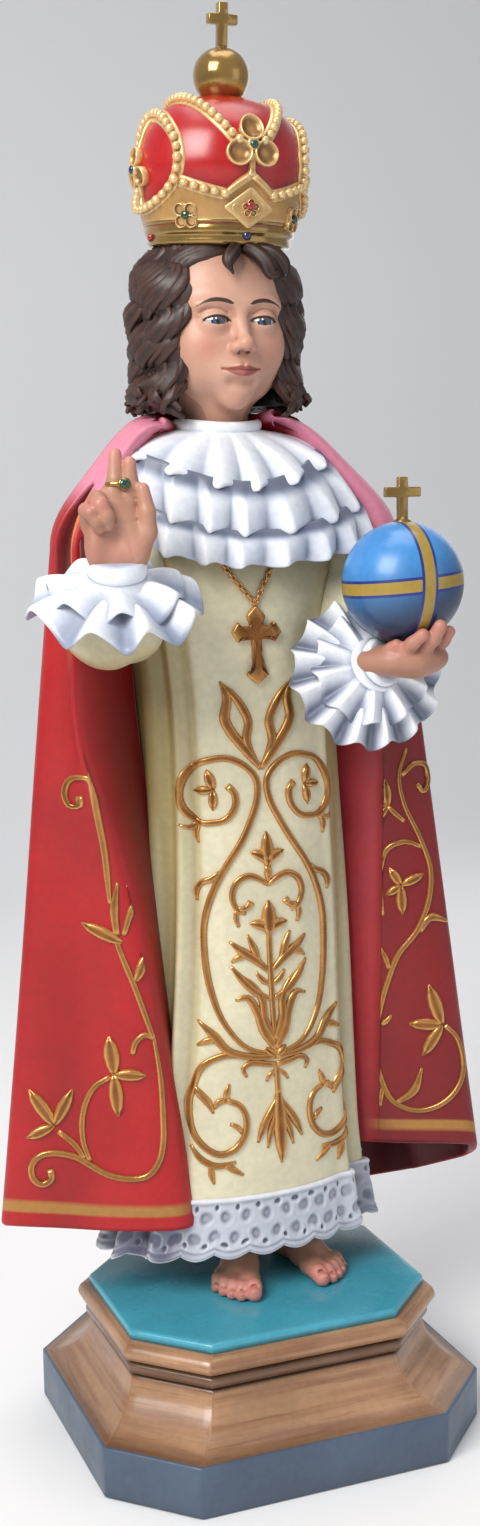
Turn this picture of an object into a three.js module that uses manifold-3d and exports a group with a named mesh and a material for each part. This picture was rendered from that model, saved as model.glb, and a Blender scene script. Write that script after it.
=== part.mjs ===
// A painted studio statue of a crowned child king in a gown and cape, on a moulded eight-sided plinth.
// Millimetres, +Z up. The figure faces -Y, its left hand is at +X, and the origin is the middle of the underside.
import * as THREE from "three";
import { mergeVertices } from "three/addons/utils/BufferGeometryUtils.js";
import Module from "manifold-3d";

// Plinth: a plain block with cut corners under a cove and two round mouldings
const PLINTH_WIDTH = 344;
const PLINTH_DEPTH = 312;
const PLINTH_CORNER = 62;
const BLOCK_HEIGHT = 44;
const MOULDING_HEIGHT = 71;
const MOULDING_INSET = 36;
const MOULDING_INSET_FRONT = 43;

// Figure: one casting, from the slab under its feet to the flat on which the crown sits
const SLAB_THICKNESS = 8;
const SLAB_EDGE_RADIUS = 3;
const FIGURE_HEIGHT = 888;
const CAPE_THICKNESS = 9;
const CAPE_HOLLOW = 60;
const RELIEF_PROUD = 3;

// Globe in the left hand
const GLOBE_RADIUS = 49;
const GLOBE_CROSS_HEIGHT = 39;
const GLOBE_CROSS_SPAN = 31;
const GLOBE_CROSS_BAR = 8;
const CROSS_THICKNESS = 6;

// Crown
const CROWN_RIM_RADIUS = 57;
const CROWN_DOME_RADIUS = 69;
const CROWN_HEIGHT = 112;
const CROWN_BAND_HEIGHT = 27;
const CROWN_TILT = THREE.MathUtils.degToRad(5);
const BEAD_RADIUS = 3.4;
const BALL_RADIUS = 23;
const CROWN_CROSS_HEIGHT = 40;
const CROWN_CROSS_SPAN = 25;
const CROWN_CROSS_BAR = 8;
const STONE_RADIUS = 3.6;
const STONE_DEPTH = 3;

// Free space left between two pieces that rest on each other
const SEAT_GAP = 0.3;

// The carving is laid out on a figure 888 units high, so one unit is a millimetre at the size above
const CARVED_HEIGHT = 888;
const UNIT = FIGURE_HEIGHT / CARVED_HEIGHT;
const SLAB_BOTTOM = BLOCK_HEIGHT + MOULDING_HEIGHT + SEAT_GAP;
const SLAB_TOP = SLAB_BOTTOM + SLAB_THICKNESS;

const FIGURE_COLOUR = { color: 0xe9e2c4, roughness: 0.45, metalness: 0.0 };
const PLINTH_COLOUR = { color: 0x9a6b45, roughness: 0.5, metalness: 0.0 };
const CROWN_COLOUR = { color: 0xc79a45, roughness: 0.35, metalness: 0.3 };
const GLOBE_COLOUR = { color: 0x4f92cf, roughness: 0.25, metalness: 0.0 };
const GREEN_STONE = { color: 0x1f6b4a, roughness: 0.1, metalness: 0.0 };
const BLUE_STONE = { color: 0x1d4f94, roughness: 0.1, metalness: 0.0 };
const RED_STONE = { color: 0x9c2a1c, roughness: 0.1, metalness: 0.0 };

const wasm = await Module();
wasm.setup();

const { clamp, lerp, smoothstep, degToRad } = THREE.MathUtils;
const vec = (x, y, z) => new THREE.Vector3(x, y, z);
const TURN = 2 * Math.PI;
const range = (n) => Array.from({ length: n }, (_, i) => i);
const anglesRound = (n) => range(n).map((i) => (i * TURN) / n - Math.PI);

// A closed geometry as a solid, turned right side out
function solid(geometry) {
  const bare = new THREE.BufferGeometry();
  bare.setAttribute("position", geometry.getAttribute("position"));
  bare.setIndex(geometry.getIndex());
  const merged = mergeVertices(bare, 1e-4);
  const vertProperties = new Float32Array(merged.getAttribute("position").array);
  const triVerts = new Uint32Array(merged.getIndex().array);
  const make = () => new wasm.Manifold(new wasm.Mesh({ numProp: 3, vertProperties, triVerts }));
  const made = make();
  if (made.volume() > 0) return made;
  for (let i = 0; i < triVerts.length; i += 3) {
    [triVerts[i + 1], triVerts[i + 2]] = [triVerts[i + 2], triVerts[i + 1]];
  }
  return make();
}

function solidOf(points, index) {
  const geometry = new THREE.BufferGeometry();
  geometry.setAttribute("position", new THREE.Float32BufferAttribute(points.flatMap((p) => [p.x, p.y, p.z]), 3));
  geometry.setIndex(index);
  return solid(geometry);
}

// A solid as a geometry for a mesh
function geometryOf(manifold) {
  const mesh = manifold.getMesh();
  const geometry = new THREE.BufferGeometry();
  geometry.setAttribute("position", new THREE.BufferAttribute(new Float32Array(mesh.vertProperties), 3));
  geometry.setIndex(new THREE.BufferAttribute(new Uint32Array(mesh.triVerts), 1));
  return geometry;
}

const join = (solids) => solids.reduce((whole, piece) => whole.add(piece));

// Smooth curve through [position, value] stops
function curveAt(stops, x) {
  const last = stops.length - 1;
  if (x <= stops[0][0]) return stops[0][1];
  if (x >= stops[last][0]) return stops[last][1];
  const i = stops.findIndex((stop, k) => k < last && x < stops[k + 1][0]);
  const slope = (k) => {
    const a = stops[Math.max(k - 1, 0)];
    const b = stops[Math.min(k + 1, last)];
    return (b[1] - a[1]) / (b[0] - a[0]);
  };
  const span = stops[i + 1][0] - stops[i][0];
  const t = (x - stops[i][0]) / span;
  const [p, q, m, n] = [stops[i][1], stops[i + 1][1], slope(i) * span, slope(i + 1) * span];
  return (
    (2 * t ** 3 - 3 * t ** 2 + 1) * p +
    (t ** 3 - 2 * t ** 2 + t) * m +
    (3 * t ** 2 - 2 * t ** 3) * q +
    (t ** 3 - t ** 2) * n
  );
}

// Sides of a solid through closed rings that each have as many points
function wallIndex(rings, n) {
  return range(rings - 1).flatMap((j) =>
    range(n).flatMap((i) => {
      const [a, b] = [j * n + i, j * n + ((i + 1) % n)];
      return [a, b, a + n, b, b + n, a + n];
    }),
  );
}

// Solid through closed rings of points, each end closed round the ring's middle
function loft(rings) {
  const n = rings[0].length;
  const points = rings.flat();
  const index = wallIndex(rings.length, n);
  for (const [start, flip] of [[0, true], [(rings.length - 1) * n, false]]) {
    const middle = vec(0, 0, 0);
    for (let i = 0; i < n; i++) middle.addScaledVector(points[start + i], 1 / n);
    const centre = points.push(middle) - 1;
    for (let i = 0; i < n; i++) {
      const [a, b] = [start + i, start + ((i + 1) % n)];
      index.push(centre, ...(flip ? [b, a] : [a, b]));
    }
  }
  return solidOf(points, index);
}

// The same for level rings of any outline, each end closed flat in plan
function loftInPlan(rings) {
  const n = rings[0].length;
  const index = wallIndex(rings.length, n);
  for (const [start, flip] of [[0, true], [(rings.length - 1) * n, false]]) {
    const outline = (start ? rings.at(-1) : rings[0]).map((p) => new THREE.Vector2(p.x, p.y));
    const wound = THREE.ShapeUtils.isClockWise(outline) ? 1 : 0;
    for (const face of THREE.ShapeUtils.triangulateShape(outline, [])) {
      const [a, b, c] = face.map((k) => start + k);
      const forward = THREE.ShapeUtils.area(face.map((k) => outline[k])) > 0 !== Boolean(wound);
      index.push(a, ...(forward === flip ? [c, b] : [b, c]));
    }
  }
  return solidOf(rings.flat(), index);
}

// Ring-shaped solid through sections of points that close on themselves and on each other
function hoop(sections) {
  const n = sections[0].length;
  return solidOf(sections.flat(), wallIndex(sections.length + 1, n).map((k) => k % (sections.length * n)));
}

// Sections of a tube along points. radii holds each point's [half width, half height], and up is its height's way.
function tubeSections(points, radii, sides, up) {
  return points.map((p, i) => {
    const ahead = points[Math.min(i + 1, points.length - 1)];
    const behind = points[Math.max(i - 1, 0)];
    const along = ahead.clone().sub(behind).normalize();
    const side = (typeof up === "function" ? up(i) : up).clone().cross(along).normalize();
    const over = along.clone().cross(side);
    const [wide, high] = radii[i];
    return range(sides).map((k) => {
      const angle = ((k + 0.5) * TURN) / sides;
      return p
        .clone()
        .addScaledVector(side, wide * Math.sin(angle))
        .addScaledVector(over, high * Math.cos(angle));
    });
  });
}

const tube = (points, radii, sides, up = vec(0, 0, 1)) => loft(tubeSections(points, radii, sides, up));

function ellipsoid(centre, radii, around, down) {
  const geometry = new THREE.SphereGeometry(1, around, down).rotateX(Math.PI / 2);
  geometry.scale(...radii).translate(centre.x, centre.y, centre.z);
  return solid(geometry);
}

// Plate of an outline in the X-Z plane, centred on y = 0
function plate(outline, thickness) {
  const shape = new THREE.Shape(outline.map(([x, z]) => new THREE.Vector2(x, z)));
  const geometry = new THREE.ExtrudeGeometry(shape, { depth: thickness, bevelEnabled: false });
  return solid(geometry.translate(0, 0, -thickness / 2).rotateX(Math.PI / 2));
}

const mirrored = (half) => [...half, ...half.map(([x, z]) => [-x, z]).reverse()];

// Plain cross that stands on z = 0 and faces -Y
function crossSolid(height, span, bar) {
  const middle = height * 0.68;
  const [b, s] = [bar / 2, span / 2];
  const half = [[b, 0], [b, middle - b], [s, middle - b], [s, middle + b], [b, middle + b], [b, height]];
  return plate(mirrored(half), CROSS_THICKNESS);
}

// How much shorter the cut corner gets for each millimetre that the plinth's plan shrinks
const CORNER_TAPER = 0.25;

// The plinth's plan, drawn in by a share of the mouldings' inset, and by so many millimetres more
function plinthRing(share, z, more = 0) {
  const w = PLINTH_WIDTH / 2 - share * MOULDING_INSET - more;
  const d = PLINTH_DEPTH / 2 - share * MOULDING_INSET_FRONT - more;
  const corner = PLINTH_CORNER - CORNER_TAPER * (share * MOULDING_INSET + more);
  const quarter = [[w - corner, -d], [w, -d + corner], [w, d - corner], [w - corner, d]];
  return [...quarter, ...quarter.map(([x, y]) => [-x, -y])].map(([x, y]) => vec(x, y, z));
}

function plinthSolid() {
  // [share of the inset, share of the moulding's height], from the block's top edge up to the slab
  const cove = [[0.34, 0.05], [0.68, 0.17], [0.94, 0.35], [1.06, 0.56]];
  const lowerRound = [[0.98, 0.59], [0.93, 0.65], [0.98, 0.72], [1.06, 0.74]];
  const upperRound = [[1.0, 0.77], [0.83, 0.81], [0.77, 0.88], [0.83, 0.96], [0.98, 1.0]];
  const outline = [[0, -BLOCK_HEIGHT / MOULDING_HEIGHT], [0, 0], ...cove, ...lowerRound, ...upperRound];
  return loft(outline.map(([share, rise]) => plinthRing(share, BLOCK_HEIGHT + rise * MOULDING_HEIGHT)));
}

function slabSolid() {
  const edge = [0, 1, 2].map((k) => {
    const turn = (k * Math.PI) / 4;
    const [inwards, below] = [1 - Math.cos(turn), 1 - Math.sin(turn)];
    return plinthRing(1, SLAB_TOP - SLAB_EDGE_RADIUS * below, SLAB_EDGE_RADIUS * inwards);
  });
  return loft([plinthRing(1, SLAB_BOTTOM), ...edge]);
}

// Gown, in units above the slab: half width, reach to the front and back, and the middle of each level
const HEM_HEIGHT = 38;
const LACE_TOP = 92;
const NECKLINE = 735;
const GOWN = {
  halfWidth: [[38, 121], [79, 112], [140, 104], [330, 92], [480, 88], [580, 92], [650, 112], [700, 92], [735, 40]],
  front: [[38, 62], [140, 62], [330, 61], [480, 63], [580, 66], [650, 64], [700, 56], [735, 34]],
  back: [[38, 72], [140, 66], [330, 58], [480, 54], [580, 56], [650, 60], [700, 56], [735, 38]],
  middleX: [[38, -7], [140, -4], [330, 2], [480, -2], [580, -9], [650, -13], [735, -15]],
  middleY: 18,
};
const PLEATS = 16;
const PLEAT_DEPTH = 7;
const SCALLOPS = 16;
const SCALLOP_DEPTH = 5;
const LACE_PROUD = 2;

// How far the pleats stand, none at the middle of the front
function pleatAt(angle, z) {
  const aside = smoothstep(Math.abs(angle), 0.5, 1.0);
  const low = smoothstep(NECKLINE - z, 60, NECKLINE - HEM_HEIGHT);
  return PLEAT_DEPTH * aside * low * Math.sin(PLEATS * Math.abs(angle));
}

// Point of the gown's surface. Angle 0 is the front, and it grows towards +X.
function gownPoint(angle, z, proud = 0) {
  const reach = curveAt(Math.cos(angle) > 0 ? GOWN.front : GOWN.back, z);
  const out = proud + pleatAt(angle, z);
  return vec(
    curveAt(GOWN.middleX, z) + (curveAt(GOWN.halfWidth, z) + out) * Math.sin(angle),
    GOWN.middleY - (reach + out) * Math.cos(angle),
    z,
  );
}

const hemAt = (angle) => HEM_HEIGHT + SCALLOP_DEPTH * (1 - Math.abs(Math.cos((SCALLOPS / 2) * angle)));

// Angles round the gown, close together where it is pleated
function gownAngles() {
  const fold = Math.PI / PLEATS;
  const half = [0, 0.25, 0.45, ...range(8).map((i) => (i + 3.5) * fold), 2.45, 2.8];
  return [-Math.PI, ...half.slice(1).map((a) => -a).reverse(), ...half];
}

function gownSolid() {
  const angles = gownAngles();
  const levels = [220, 390, 540, 640, 690, NECKLINE];
  return loft([
    angles.map((a) => gownPoint(a, hemAt(a))),
    angles.map((a) => gownPoint(a, LACE_TOP, LACE_PROUD)),
    angles.map((a) => gownPoint(a, LACE_TOP + 1)),
    ...levels.map((z) => angles.map((a) => gownPoint(a, z))),
  ]);
}

// Middle line of the ornament on the gown's front, which follows the turn of the body
const ORNAMENT_MIDDLE = [[119, 9], [213, 5], [300, 1], [390, 0], [460, -5], [600, -10]];

// Point of the gown's front at a distance to one side of the ornament's middle line
function frontPoint([aside, z], proud = 0) {
  const x = curveAt(ORNAMENT_MIDDLE, z) + aside;
  const share = (x - curveAt(GOWN.middleX, z)) / curveAt(GOWN.halfWidth, z);
  return gownPoint(Math.asin(clamp(share, -1, 1)), z, proud);
}

// Raised strokes of the ornament: [distance aside, height] places and the width at each end and in the middle
const STROKES = [
  { path: [[0, 460], [14, 482], [24, 503], [31, 531]], widths: [4, 11, 3] },
  { path: [[4, 216], [43, 246], [54, 305], [45, 360], [22, 399], [5, 436]], widths: [5, 7, 7] },
  { path: [[5, 436], [15, 464], [41, 469], [61, 453], [61, 425], [43, 416], [25, 430]], widths: [7, 7, 5] },
  { path: [[12, 211], [44, 217], [66, 204], [77, 178], [73, 153], [53, 131]], widths: [4, 7, 7] },
  { path: [[53, 131], [36, 136], [30, 154], [37, 173], [50, 176]], widths: [7, 7, 5] },
  { path: [[2, 268], [18, 276], [35, 300]], widths: [4, 10, 3] },
];
const MIDDLE_STROKES = [
  { path: [[0, 213], [0, 290], [0, 352]], widths: [5, 6, 14] },
  { path: [[0, 368], [0, 404]], widths: [8, 12, 3] },
  { path: [[0, 208], [0, 118]], widths: [8, 14, 3] },
];
const STROKE_SINK = 2;

// A stroke with a ridge along its middle
function strokeSolid({ path, widths }, side) {
  const curve = new THREE.CatmullRomCurve3(path.map(([a, z]) => frontPoint([side * a, z])));
  const steps = path.length;
  const centre = vec(0, GOWN.middleY, 0);
  const sections = range(steps + 1).map((i) => {
    const at = curve.getPoint(i / steps);
    const along = curve.getTangent(i / steps);
    const out = at.clone().sub(centre).setZ(0).normalize();
    const across = along.cross(out).normalize();
    const width = curveAt([[0, widths[0]], [0.5, widths[1]], [1, widths[2]]], i / steps);
    return [
      at.clone().addScaledVector(across, width / 2).addScaledVector(out, -STROKE_SINK),
      at.clone().addScaledVector(out, RELIEF_PROUD),
      at.clone().addScaledVector(across, -width / 2).addScaledVector(out, -STROKE_SINK),
    ];
  });
  return loft(sections);
}

// Cross with flared ends on a chain under the collar
const PENDANT = { height: 66, half: 21, foot: 530, aside: 0 };
function pendantSolid() {
  const { height: h, half: w, foot } = PENDANT;
  const arm = h * 0.66;
  const half = [
    [0, 0], [10, 9], [4, 13], [4, arm - 5], [w - 8, arm - 5], [w - 6, arm - 9], [w, arm],
    [w - 6, arm + 9], [w - 8, arm + 5], [5, arm + 5], [8, h - 9], [0, h],
  ];
  const outline = [...half, ...half.slice(1, -1).map(([x, z]) => [-x, z]).reverse()];
  const at = frontPoint([PENDANT.aside, foot + h / 2]);
  return plate(outline, 2 * RELIEF_PROUD).translate([at.x, at.y, foot]);
}

function chainSolids() {
  const top = PENDANT.foot + PENDANT.height;
  return [[-34, 640], [22, 640]].map((end) => {
    const points = [[0, top - 2], [end[0] * 0.45, lerp(top, end[1], 0.4)], end].map((p) => frontPoint(p, 0.5));
    return tube(points, points.map(() => [2.2, 2.2]), 4, vec(0, 1, 0));
  });
}

// Cape: three curves in plan, from the return inside the left panel round the back to that inside the right one
const CAPE = {
  hem: [
    [-54, 16, 75], [-78, -26, 73], [-143, -16, 75], [-218, 12, 81], [-207, 72, 61], [-121, 116, 38],
    [-6, 126, 28], [101, 116, 30], [184, 82, 45], [224, 22, 74], [203, -30, 102], [121, 2, 106], [83, 34, 106],
  ],
  shoulder: [
    [-100, 14, 637], [-150, -28, 637], [-160, -12, 639], [-163, 14, 642], [-140, 54, 647], [-80, 80, 652],
    [-10, 88, 654], [60, 80, 652], [118, 56, 649], [142, 20, 647], [142, -6, 645], [120, -24, 643], [84, 10, 643],
  ],
  neck: [
    [-48, 16, 742], [-62, -8, 748], [-66, 4, 750], [-66, 20, 752], [-58, 42, 754], [-38, 58, 756],
    [-14, 62, 756], [8, 58, 756], [26, 42, 754], [34, 20, 752], [34, 4, 750], [30, -8, 748], [18, 16, 742],
  ],
};
const CAPE_SHOULDER_AT = 0.2;
const CAPE_FOLDS = 8;
const CAPE_FOLD_DEPTH = 5;
const capeCurve = (points) => new THREE.CatmullRomCurve3(points.map((p) => vec(...p)), false, "centripetal");
const [capeHem, capeShoulder, capeNeck] = [CAPE.hem, CAPE.shoulder, CAPE.neck].map(capeCurve);

// Point of the cape's outer surface: u goes round it, v goes down it
function capePoint(u, v) {
  const shoulder = capeShoulder.getPoint(u);
  if (v < CAPE_SHOULDER_AT) {
    const turn = ((v / CAPE_SHOULDER_AT) * Math.PI) / 2;
    const neck = capeNeck.getPoint(u);
    return vec(
      lerp(neck.x, shoulder.x, Math.sin(turn)),
      lerp(neck.y, shoulder.y, Math.sin(turn)),
      lerp(shoulder.z, neck.z, Math.cos(turn)),
    );
  }
  const down = (v - CAPE_SHOULDER_AT) / (1 - CAPE_SHOULDER_AT);
  const point = shoulder.lerp(capeHem.getPoint(u), down);
  const outward = vec(point.x - GOWN.middleX[0][1], point.y - GOWN.middleY, 0).normalize();
  const free = smoothstep(u, 0.1, 0.2) * smoothstep(1 - u, 0.1, 0.2);
  const fold = CAPE_FOLD_DEPTH * free * smoothstep(down, 0, 1) * Math.cos(CAPE_FOLDS * TURN * u);
  return point.addScaledVector(outward, fold);
}

// The cape is solid behind the gown, with a hollow cut up into it from the hem
function capeSolid() {
  const columns = 32;
  const ring = (v) => range(columns + 1).map((i) => capePoint(i / columns, v));
  const body = loftInPlan([1, 0.72, 0.45, 0.2, 0.13, 0.06, 0].map(ring));
  const inside = (v, drop) => {
    const shares = range(9).map((i) => lerp(0.24, 0.76, i / 8));
    const rim = shares.map((u) => {
      const p = capePoint(u, v);
      const inward = vec(GOWN.middleX[0][1] - p.x, GOWN.middleY - p.y, 0).normalize();
      return p.addScaledVector(inward, CAPE_THICKNESS / UNIT).setZ(p.z - drop);
    });
    return rim;
  };
  const top = 1 - CAPE_HOLLOW / UNIT / (CAPE.shoulder[6][2] - CAPE.hem[6][2]);
  return body.subtract(loftInPlan([inside(1, 20), inside(top, 0)]));
}

// Collar: three ruffled tiers round the neck
const COLLAR = {
  middle: [-15, 18],
  neck: { wide: 38, deep: 36, front: 731, side: 734 },
  tiers: [
    { wide: 92, deep: 68, front: 694, side: 728 },
    { wide: 120, deep: 77, front: 659, side: 694 },
    { wide: 132, deep: 84, front: 634, side: 662 },
  ],
  underCape: 46,
};
const RUFFLES = 15;
const RUFFLE_DEPTH = 4.5;
const TIER_THICKNESS = 4;

function collarRing(tier, angles, { ruffle = 0, turn = 0, drop = 0, inset = 0 } = {}) {
  return angles.map((a) => {
    const out = ruffle * Math.cos(RUFFLES * a + turn) - inset;
    const z = lerp(tier.front, tier.side, Math.sin(a) ** 2) - drop;
    const [x, y] = COLLAR.middle;
    const reach = Math.cos(a) > 0 ? tier.deep : Math.min(tier.deep, COLLAR.underCape);
    return vec(x + (tier.wide + out) * Math.sin(a), y - (reach + out) * Math.cos(a), z);
  });
}

function collarSolid() {
  const angles = anglesRound(2 * RUFFLES);
  const tiers = COLLAR.tiers.map((tier, k) => {
    const above = k ? COLLAR.tiers[k - 1] : COLLAR.neck;
    const wave = { ruffle: RUFFLE_DEPTH, turn: k % 2 ? Math.PI : 0 };
    return loft([
      collarRing(tier, angles, { inset: 34, drop: TIER_THICKNESS }),
      collarRing(tier, angles, { ...wave, drop: TIER_THICKNESS }),
      collarRing(tier, angles, wave),
      collarRing(above, angles, { inset: k ? 10 : 0, drop: k ? -3 : 0 }),
    ]);
  });
  const neckAngles = anglesRound(12);
  const rolled = [[14, 1], [3, -3], [-2, -2], [-3, 2]].map(([drop, inset]) =>
    collarRing(COLLAR.neck, neckAngles, { drop, inset }),
  );
  return join([...tiers, loft(rolled)]);
}

// Arms: where the sleeve runs, where the cuff sits and which way the forearm points
const RIGHT_ARM = {
  sleeve: [[-104, 8, 672], [-122, -16, 628], [-134, -50, 592]],
  sleeveWidths: [34, 40, 40],
  elbow: { centre: [-136, -66, 588], radii: [44, 42, 41] },
  cuff: [-139, -86, 604],
  along: vec(-0.08, -0.34, 0.93).normalize(),
  wrist: [[-139, -88, 604], [-141, -97, 627], [-141, -97, 628], [-142, -100, 637]],
  ruffRadius: 66,
};
const LEFT_ARM = {
  sleeve: [[86, 8, 672], [98, -6, 610], [94, -36, 560], [76, -70, 545]],
  sleeveWidths: [34, 38, 40, 34],
  cuff: [77, -78, 539],
  along: vec(-0.12, -0.93, 0.35).normalize(),
  wrist: [[74, -86, 541], [75, -109, 549], [76, -110, 549.5], [80, -116, 551]],
  ruffRadius: 61,
};
const WRIST_RADII = [25, 25, 20, 18];
const CUFF_WAVES = 8;
const CUFF_WAVE_DEPTH = 6;
const FRILLS = [
  { reach: 1, start: 12, fall: 12, turn: 0 },
  { reach: 0.76, start: 21, fall: 8, turn: Math.PI },
];

// Ruffled frill round a wrist, given by its reach as a share of the ruff's radius
function frillSolid(arm, { reach, start, fall, turn }) {
  const side = vec(1, 0, 0).cross(arm.along).normalize();
  const over = arm.along.clone().cross(side);
  const place = (angle, share, lift) => {
    const radius = lerp(WRIST_RADII[0] * 0.6, arm.ruffRadius * reach, share);
    const wave = CUFF_WAVE_DEPTH * share * Math.cos(CUFF_WAVES * angle + turn);
    return vec(...arm.cuff)
      .addScaledVector(side, radius * Math.cos(angle))
      .addScaledVector(over, radius * Math.sin(angle))
      .addScaledVector(arm.along, start - fall * share ** 2 + wave + lift);
  };
  return hoop(
    anglesRound(2 * CUFF_WAVES).map((a) => [place(a, 0, 4), place(a, 1, 2), place(a, 1, -2), place(a, 0, -14)]),
  );
}

function armSolid(arm) {
  const sleeve = arm.sleeve.map((p) => vec(...p));
  const wrist = arm.wrist.map((p) => vec(...p));
  const pieces = [
    tube(sleeve, arm.sleeveWidths.map((w) => [w, w]), 9, vec(0, 1, 0.2).normalize()),
    tube(wrist, WRIST_RADII.map((r) => [r, r]), 8, vec(0.3, 1, 0.3).normalize()),
    ...FRILLS.map((frill) => frillSolid(arm, frill)),
  ];
  if (arm.elbow) pieces.push(ellipsoid(vec(...arm.elbow.centre), arm.elbow.radii, 10, 7));
  return join(pieces);
}

// A finger with a rounded tip
const FINGER_SIDES = 5;
function fingerSolid(points, radius, up) {
  const curve = new THREE.CatmullRomCurve3(points);
  const line = range(4).map((i) => curve.getPoint(i / 3));
  const tip = line.at(-1).clone().sub(line.at(-2)).normalize();
  line.push(line.at(-1).clone().addScaledVector(tip, radius * 0.75));
  const shares = [1, 1, 0.95, 0.88, 0.45];
  return tube(line, shares.map((s) => [s * radius, s * radius]), FINGER_SIDES, up);
}

// Right hand, raised with the palm to the front. Places are [across, out of the palm, up] from the wrist.
const RIGHT_HAND = {
  wrist: vec(-142, -99, 631),
  across: vec(0.97, -0.22, 0).normalize(),
  fingers: [
    { path: [[-3, 0, 40], [1, 0, 62], [4, -1, 84]], radius: 6.6 },
    { path: [[9, 0, 40], [11, 2, 60], [11, 3, 78]], radius: 6.4 },
    { path: [[-12, 0, 38], [-15, 9, 52], [-11, 17, 44], [-5, 15, 36]], radius: 6 },
    { path: [[-20, 0, 32], [-22, 8, 44], [-18, 16, 39], [-12, 15, 33]], radius: 5.4 },
    { path: [[17, 2, 10], [24, 7, 28], [23, 8, 42], [20, 7, 57]], radius: 6.6 },
  ],
};

function rightHandSolid() {
  const { wrist, across, fingers } = RIGHT_HAND;
  const up = vec(0, 0, 1);
  const out = across.clone().cross(up).normalize();
  const place = ([a, b, c]) =>
    wrist.clone().addScaledVector(across, a).addScaledVector(out, b).addScaledVector(up, c);
  const spine = [[0, 0, -10], [0, 0, 4], [0, 0, 20], [-4, 0, 36], [-5, 0, 46]].map(place);
  const palm = tube(spine, [[15, 12], [17, 12], [24, 13], [22, 11], [17, 7]], 8, out);
  return join([palm, ...fingers.map(({ path, radius }) => fingerSolid(path.map(place), radius, out))]);
}

// Left hand, palm up under the globe. Directions from the globe's middle are [bearing, tilt] in degrees:
// the bearing is from the front towards +X, the tilt is up from straight down.
const PALM_TOP = vec(94, -110, 563);
const globeCentre = PALM_TOP.clone().setZ(PALM_TOP.z + (GLOBE_RADIUS + SEAT_GAP) / UNIT);
const LEFT_FINGERS = [
  { base: [-72, 16], tip: [-37, 30], radius: 5.4 },
  { base: [-38, 13], tip: [-3, 45], radius: 6 },
  { base: [10, 12], tip: [14, 54], radius: 6.3 },
  { base: [50, 15], tip: [40, 46], radius: 6 },
  { base: [150, 22], tip: [158, 62], radius: 6.8 },
];
const KNUCKLE_DROP = 5;

function underGlobe([bearing, tilt], away) {
  const r = GLOBE_RADIUS / UNIT + away;
  const [b, t] = [degToRad(bearing), degToRad(tilt)];
  return globeCentre.clone().add(vec(r * Math.sin(t) * Math.sin(b), -r * Math.sin(t) * Math.cos(b), -r * Math.cos(t)));
}

function leftHandSolid() {
  const fingers = LEFT_FINGERS.map(({ base, tip, radius }) => {
    const points = [0, 0.4, 0.75, 1].map((s) => {
      const towards = [lerp(base[0], tip[0], s), lerp(base[1], tip[1], s)];
      return underGlobe(towards, radius + 0.5 + KNUCKLE_DROP * (1 - s));
    });
    return fingerSolid(points, radius, vec(0.5, 0.6, -0.2).normalize());
  });
  const spine = [vec(74, -114, 551), vec(82, -117, 552), vec(94, -120, 551), vec(106, -121, 552), vec(112, -121, 554)];
  const palm = tube(spine, [[16, 13], [19, 14], [24, 14], [22, 11], [14, 7]], 8);
  return join([palm, ...fingers]);
}

// Room in which the globe rests
function globeRoom() {
  const clearance = (GLOBE_RADIUS + SEAT_GAP) / UNIT;
  return ellipsoid(globeCentre, [clearance, clearance, clearance], 18, 12);
}

// Head and neck
const HEAD = { centre: vec(-13, 18, CARVED_HEIGHT - 58), wide: 51, deep: 64, high: 76 };

const mound = (x, z, x0, z0, wide, high) => Math.exp(-(((x - x0) / wide) ** 2) - ((z - z0) / high) ** 2);

// Relief of a calm child's face, in units out of the head's oval
function faceRelief(x, z) {
  const pair = (x0, z0, wide, high) => mound(x, z, x0, z0, wide, high) + mound(x, z, -x0, z0, wide, high);
  return (
    11 * mound(x, z, 0, -20, 7, 9) +
    6 * mound(x, z, 0, -5, 6, 14) -
    5 * pair(19, 0, 11, 8) +
    3 * pair(27, -24, 15, 15) +
    4.5 * mound(x, z, 0, -40, 14, 6) +
    5 * mound(x, z, 0, -60, 13, 10)
  );
}

// Point of the head: around is 0 at the front and 1 at the back of either side, down runs from crown to chin
function headPoint(around, down) {
  const [a, t] = [around * Math.PI, down * Math.PI];
  const jaw = 1 - 0.17 * smoothstep(-Math.cos(t), 0.2, 1);
  const x = HEAD.wide * jaw * Math.sin(t) * Math.sin(a);
  const z = HEAD.high * Math.cos(t);
  const relief = smoothstep(Math.cos(a), 0.1, 0.6) * faceRelief(x, z);
  return vec(x, -HEAD.deep * Math.sin(t) * Math.cos(a) - relief, z).add(HEAD.centre);
}

function headSolid() {
  const columns = 18;
  const rows = 12;
  const rings = range(rows - 1).map((j) =>
    range(columns).map((i) => {
      const s = (2 * i) / columns - 1;
      return headPoint(Math.sign(s) * Math.abs(s) ** 1.5, (j + 1) / rows);
    }),
  );
  const neck = [vec(-15, 20, NECKLINE - 35), vec(-15, 20, NECKLINE + 10), vec(-16, 22, HEAD.centre.z - 40)];
  return loft(rings).add(tube(neck, [[30, 28], [29, 28], [34, 34]], 14, vec(0, 1, 0)));
}

// Hair, parted in the middle, in waves to the shoulders, by height above the crown's seat. The opening is the
// face's half angle.
const HAIR = {
  wide: [[-144, 50], [-132, 64], [-98, 71], [-58, 71], [-23, 66], [5, 60]],
  deep: [[-144, 46], [-132, 60], [-98, 70], [-58, 74], [-23, 72], [5, 60]],
  opening: [[-144, 64], [-98, 52], [-58, 48], [-36, 40], [-22, 24], [-12, 2]],
  levels: [-144, -130, -111, -91, -71, -51, -31, -13, 5, 17],
};

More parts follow.
